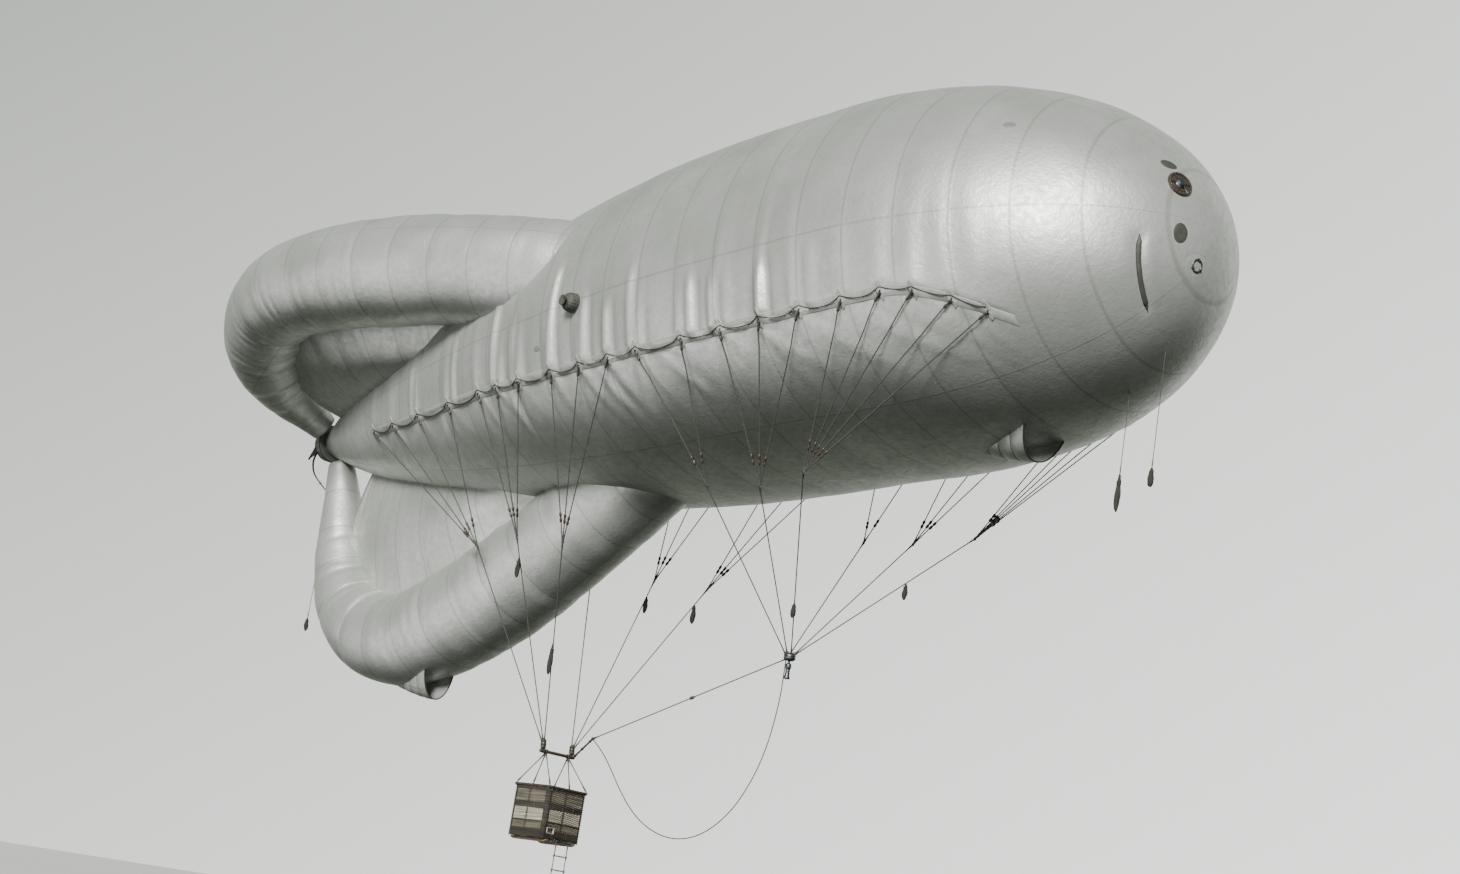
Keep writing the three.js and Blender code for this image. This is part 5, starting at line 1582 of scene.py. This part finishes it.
def basketRim():
    at, total = roundedSquare(rim["out"] - rim["half"], rim["corner"])
    steps, sides = rim["steps"], rim["sides"]
    s = np.arange(steps) / steps * total
    place, out = at(s)
    grip = (1 - 0.07 * bell((s / total * rim["lashings"]) % 1.0 - 0.5, 0.16))[:, None]
    turn = turnsOf(sides)
    wide = np.sign(np.cos(turn)) * np.abs(np.cos(turn)) ** 0.8 * rim["half"]
    tall = np.sign(np.sin(turn)) * np.abs(np.sin(turn)) ** 0.8 * rim["high"]
    route = np.hstack([place + pivot[:2], np.full((steps, 1), rimCentre)])
    outward = np.hstack([out, np.zeros((steps, 1))])
    rings = (route[:, None] + outward[:, None] * (wide[None] * grip)[..., None]
             + upward * (tall[None] * grip)[..., None])
    roll = addPiece("basket_rim_roll", [(rings.reshape(-1, 3), gridFaces(steps, sides, ends="loop"))], hide,
                    "basket", replaces=["basket_rim"])
    parts = []
    lap = np.linspace(0, 2 * math.pi, 19)[:, None]
    for k in range(rim["lashings"]):
        place, out = at(np.array([(k + 0.5) / rim["lashings"] * total]))
        out = np.array([*out[0], 0])
        middle = np.array([*(place[0] + pivot[:2]), rimCentre])
        along = np.array([-out[1], out[0], 0])
        loop = (middle + out * (np.cos(lap) * (rim["half"] * 0.97)) + along * (0.02 * np.sin(lap / 2))
                + upward * (np.sin(lap) * rim["high"] * 0.97))
        parts.append(tube(loop, rim["lashing"], 5))
    addPiece("basket_rim_lacing", parts, [darkHemp], "basket")


basketRim()


planks = {"count": 9, "gap": 0.005, "thick": 0.021, "battens": [-0.4, 0.0, 0.4], "battenWide": 0.07,
          "battenThick": 0.011}
floorNail = [(0.002, -0.002), (0.006, -0.002), (0.006, 0.0006), (0.002, 0.0012)]


def basketFloor():
    inner = basket["half"] - basket["wall"] - 0.0006
    width = 2 * inner / planks["count"]
    middles = [-inner + width * (k + 0.5) for k in range(planks["count"])]
    parts = []
    for y in middles:
        size = (2 * inner, width - planks["gap"], planks["thick"])
        parts.append((*roundBox((pivot[0], y, floorTop - planks["thick"] / 2), size, 0.003), 0))
    for x in planks["battens"]:
        size = (planks["battenWide"], 2 * inner, planks["battenThick"])
        z = floorTop - planks["thick"] - planks["battenThick"] / 2
        parts.append((*roundBox((pivot[0] + x, 0, z), size, 0.002), 0))
        for y in middles:
            for side in (-0.025, 0.025):
                parts.append((*turned(floorNail, (pivot[0] + x + side, y, floorTop), (0, 0, 1), 8), 1))
    addPiece("basket_floor_planks", parts, [ash, steel], "basket", replaces=["basket_floor"],
             sharp=30)


basketFloor()

runner = {"y": 0.396, "width": 0.07, "height": 0.06, "bevel": 0.008, "shoe": 0.004, "shoeWidth": 0.044,
          "turnUp": 0.032, "turnUpFrom": 0.43, "bolts": [-0.38, -0.19, 0, 0.19, 0.38]}
runnerBolt = [(0.002, -0.002), (0.009, -0.002), (0.009, 0.004), (0.005, 0.007), (0.002, 0.007)]


def basketRunner(side, sign):
    top = floorTop - basket["floorThickness"] - 0.0003
    y = sign * runner["y"]
    x = np.linspace(-basket["half"], basket["half"], 45)
    lift = runner["turnUp"] * np.clip((np.abs(x) - runner["turnUpFrom"]) / 0.12, 0, 1) ** 2
    w, b, wideShoe = runner["width"] / 2, runner["bevel"], runner["shoeWidth"] / 2
    body, shoe = [], []
    for xk, lk in zip(x + pivot[0], lift):
        low, high = top - runner["height"] + lk, top
        outline = [(-w + b, low), (w - b, low), (w, low + b), (w, high - b), (w - b, high), (-w + b, high),
                   (-w, high - b), (-w, low + b)]
        body += [(xk, y + oy, oz) for oy, oz in outline]
        shoe += [(xk, y + oy, low + oz) for oy, oz in (
            (-wideShoe, 0.002), (wideShoe, 0.002), (wideShoe, -runner["shoe"]), (-wideShoe, -runner["shoe"]))]
    parts = [(body, gridFaces(len(x), 8, ends="flat"), 0), (shoe, gridFaces(len(x), 4, ends="flat"), 1)]
    for xk in runner["bolts"]:
        at = (pivot[0] + xk, y + sign * w, top - runner["height"] / 2)
        parts.append((*turned(runnerBolt, at, (0, sign, 0), 8), 1))
    addPiece(f"basket_runner_{side}", parts, [ash, steel], "basket",
             replaces=[f"basket_skid_{side}"], sharp=30)


sling = {"y": 0.33, "wall": 0.016, "width": 0.07, "radius": 0.012, "spread": 0.02, "endIn": 0.03,
         "sideIn": 0.02, "eyeRise": 0.06, "lapPitch": 0.012, "lap": 0.0065}


def basketSling(side, sign):
    outer, bore = bar["radius"] + sling["wall"], bar["radius"] + 0.0007
    w = sling["width"] / 2
    middle = pivot + np.array([0, sign * sling["y"], 0])
    cuff = [(bore, -w), (outer - 0.004, -w), (outer, -w + 0.005), (outer, -w + 0.012),
            (outer - 0.003, -w + 0.016)]
    parts = [(*collar(mirrored(cuff), middle, (0, 1, 0), 32), 0)]
    lap = np.linspace(0, 2 * math.pi, 19)[:, None]
    for reach in (-1, 0, 1):
        start = middle + np.array([reach * sling["spread"], 0, -bar["radius"] - sling["wall"] / 2])
        end = pivot + np.array([reach * (basket["half"] - sling["endIn"]),
                                sign * (basket["half"] - sling["sideIn"]),
                                -basket["rimDrop"] + sling["eyeRise"]])
        along = unit(end - start)
        parts.append((*laidRope([start, end - along * 0.03], sling["radius"]), 1))
        parts.append((*ringShape(end - along * 0.012, np.cross(along, [0, 0, 1]), 0.018, 0.006, 18, 8), 2))
        parts += whipping([end - along * (0.07 + 0.014 * k) for k in range(4)], along, 0.0145, 0.005, 1, 14)
        # Three turns round the rim, square to it
        out = np.array([0, sign, 0]) if reach == 0 else unit([reach, sign * 0.9, 0])
        byRim = np.array([-out[1], out[0], 0])
        for k in (-1, 0, 1):
            centre = np.array([end[0], end[1], rimCentre]) + byRim * sling["lapPitch"] * k
            loop = (centre + out * (np.cos(lap) * rim["half"] * 1.02)
                    + upward * (np.sin(lap) * rim["high"] * 1.04))
            parts.append((*tube(loop, sling["lap"], 6), 1))
    addPiece(f"basket_sling_{side}_ropes", parts, [hide, hemp, steel], "basket",
             replaces=[f"basket_sling_{side}"])


for side, sign in bothSides:
    basketRunner(side, sign)
    basketSling(side, sign)

ladder = {"halfWidth": 0.17, "rungs": 6, "pitch": 0.29, "stile": 0.011, "rung": 0.015, "proud": 0.03,
          "hub": 0.012, "hubWidth": 0.04, "pin": 0.014, "pinReach": 0.062, "pinProud": 0.09, "below": 0.046,
          "armInset": 0.02, "armWidth": 0.024, "tie": 0.005, "ties": [-0.03, -0.018, 0.018, 0.03]}
ladderKnot = [(0.004, -0.026), (0.014, -0.022), (0.021, -0.006), (0.019, 0.012), (0.012, 0.024),
              (0.004, 0.026)]
pinCentre = np.array([pivot[0] + basket["half"] + ladder["pinReach"], 0, floorTop - ladder["below"]])


def ladderPin():
    half = ladder["halfWidth"] + ladder["pinProud"]
    r, wide, below = ladder["pin"], ladder["armWidth"], ladder["below"]
    profile = mirrored([(0.003, -half), (r * 0.8, -half), (r, -half + 0.004)])
    nut = mirrored([(0.003, -0.004), (0.019, -0.004)])
    reach = ladder["pinReach"] - 0.0003
    parts = [turned(profile, pinCentre, (0, 1, 0), 20)]
    for sign in (-1, 1):
        y = sign * (half - ladder["armInset"])
        parts.append(roundBox((pinCentre[0] - reach / 2 + 0.006, y, floorTop - 0.015),
                              (reach + 0.012, wide, 0.03), 0.004))
        parts.append(roundBox((pinCentre[0], y, floorTop - below / 2 - 0.004), (0.034, wide, below + 0.008),
                              0.005))
        parts.append(turned(nut, pinCentre + np.array([0, sign * (half - 0.003), 0]), (0, 1, 0), 6))
    addPiece("ladder_pin_forged", parts, [steel], "basket", replaces=["ladder_pin"], sharp=35)


def ropeLadder():
    bore = ladder["pin"] + 0.0008
    outer = ladder["pin"] + ladder["hub"]
    w = ladder["hubWidth"] / 2
    drop = ladder["pitch"] * (ladder["rungs"] + 0.25)
    eye = mirrored([(bore, -w), (outer - 0.004, -w), (outer, -w + 0.004)], [(outer - 0.004, 0.0)])
    parts = []
    for sign in (-1, 1):
        y = sign * ladder["halfWidth"]
        parts.append((*collar(eye, pinCentre + np.array([0, y, 0]), (0, 1, 0), 24), 2))
        start = pinCentre + np.array([0, y, -outer + 0.004])
        end = pinCentre + np.array([0, y, -drop])
        parts.append((*laidRope([start, end], ladder["stile"], (True, False)), 0))
        parts.append((*turned(ladderKnot, end, (0, 0, 1), 12), 0))
    reach = ladder["halfWidth"] + ladder["proud"]
    r = ladder["rung"]
    rung = mirrored([(0.003, -reach), (r * 0.8, -reach), (r, -reach + 0.008), (r * 0.72, -reach + 0.02),
                     (r * 0.8, -0.13), (r, -0.05)])
    for i in range(1, ladder["rungs"] + 1):
        at = pinCentre + np.array([0, 0, -i * ladder["pitch"]])
        parts.append((*turned(rung, at, (0, 1, 0), 16), 1))
        for sign in (-1, 1):
            ties = [at + np.array([0, sign * ladder["halfWidth"], up]) for up in ladder["ties"]]
            parts += whipping(ties, (0.2, 0, 1), 0.0125, ladder["tie"], 0, 14)
    addPiece("rope_ladder_laid", parts, [hemp, ash, steel], "ladder", replaces=["rope_ladder"])


ladderPin()
ropeLadder()
print("basket and ladder made")

# Lights and surroundings: a soft key from ahead of the starboard beam, a pale sky, dim ground below
daylight = {"keyStrength": 6.8, "keySize": 16.0, "keyFrom": (0.42, -0.8, 0.43),
            "fillStrength": 1.4, "fillSize": 60.0, "fillFrom": (-0.4, -0.78, -0.4),
            "skyPale": "f2f4f0", "skyDull": "777d75", "dullFrom": -0.15, "dullTo": 0.6,
            "dullSide": (-0.45, -0.42, 0.79), "ground": "757a71",
            "brightSide": (-0.66, 0.71, 0.26), "brightFrom": 0.2, "brightTo": 0.85,
            "skyStrength": 0.33, "brightStrength": 2.1, "groundFrom": -0.24, "groundTo": -0.06,
            "floor": "d6d8d2", "floorShade": "cdcfc9", "floorZ": -13.3, "floorHalf": 1200.0}


def addSun(name, strength, size, source):
    lamp = bpy.data.lights.new(name, "SUN")
    lamp.energy = strength
    lamp.angle = math.radians(size)
    holder = bpy.data.objects.new(name, lamp)
    holder.rotation_mode = "QUATERNION"
    holder.rotation_quaternion = Vector(source).to_track_quat("Z", "Y")
    bpy.context.scene.collection.objects.link(holder)


def makeSky():
    world = bpy.data.worlds.new("sky")
    world.use_nodes = True
    tree = world.node_tree
    ray = addNode(tree, "ShaderNodeTexCoord").outputs["Generated"]
    lean = addNode(tree, "ShaderNodeVectorMath", {0: ray, 1: unit(daylight["dullSide"])},
                   operation="DOT_PRODUCT")
    share = addNode(tree, "ShaderNodeMapRange", {0: lean.outputs["Value"], 1: daylight["dullFrom"],
                                                 2: daylight["dullTo"]})
    sky = addNode(tree, "ShaderNodeMix", {
        0: share.outputs[0], 6: toLinear(daylight["skyPale"]), 7: toLinear(daylight["skyDull"])},
        data_type="RGBA")
    split = addNode(tree, "ShaderNodeSeparateXYZ", {0: ray})
    under = addNode(tree, "ShaderNodeMapRange", {
        0: split.outputs[2], 1: daylight["groundFrom"], 2: daylight["groundTo"], 3: 1.0, 4: 0.0})
    whole = addNode(tree, "ShaderNodeMix", {
        0: under.outputs[0], 6: sky.outputs[2], 7: toLinear(daylight["ground"])}, data_type="RGBA")
    background = tree.nodes["Background"]
    toBright = addNode(tree, "ShaderNodeVectorMath", {0: ray, 1: unit(daylight["brightSide"])},
                       operation="DOT_PRODUCT")
    strength = addNode(tree, "ShaderNodeMapRange", {
        0: toBright.outputs["Value"], 1: daylight["brightFrom"], 2: daylight["brightTo"],
        3: daylight["skyStrength"], 4: daylight["brightStrength"]}, interpolation_type="SMOOTHSTEP")
    tree.links.new(strength.outputs[0], background.inputs["Strength"])
    tree.links.new(whole.outputs[2], background.inputs["Color"])
    bpy.context.scene.world = world


def paleFloor():
    material, tree, shader = newFinish("paintedFloor", Roughness=0.9)
    shade = addNode(tree, "ShaderNodeTexNoise", {"Scale": 24.0})
    mix = addNode(tree, "ShaderNodeMix", {0: shade.outputs[0], 6: toLinear(daylight["floor"]),
                                          7: toLinear(daylight["floorShade"])}, data_type="RGBA")
    tree.links.new(mix.outputs[2], shader.inputs["Base Color"])
    mesh = bpy.data.meshes.new("floor")
    half, z = daylight["floorHalf"], daylight["floorZ"]
    corners = [(-half, -half, z), (half, -half, z), (half, half, z), (-half, half, z)]
    mesh.from_pydata(corners, [], [(0, 1, 2, 3)])
    mesh.materials.append(material)
    floor = bpy.data.objects.new("floor", mesh)
    floor.visible_diffuse = False
    floor.visible_glossy = False
    bpy.context.scene.collection.objects.link(floor)


addSun("key", daylight["keyStrength"], daylight["keySize"], daylight["keyFrom"])
addSun("fill", daylight["fillStrength"], daylight["fillSize"], daylight["fillFrom"])
makeSky()
paleFloor()
print("light and floor made")
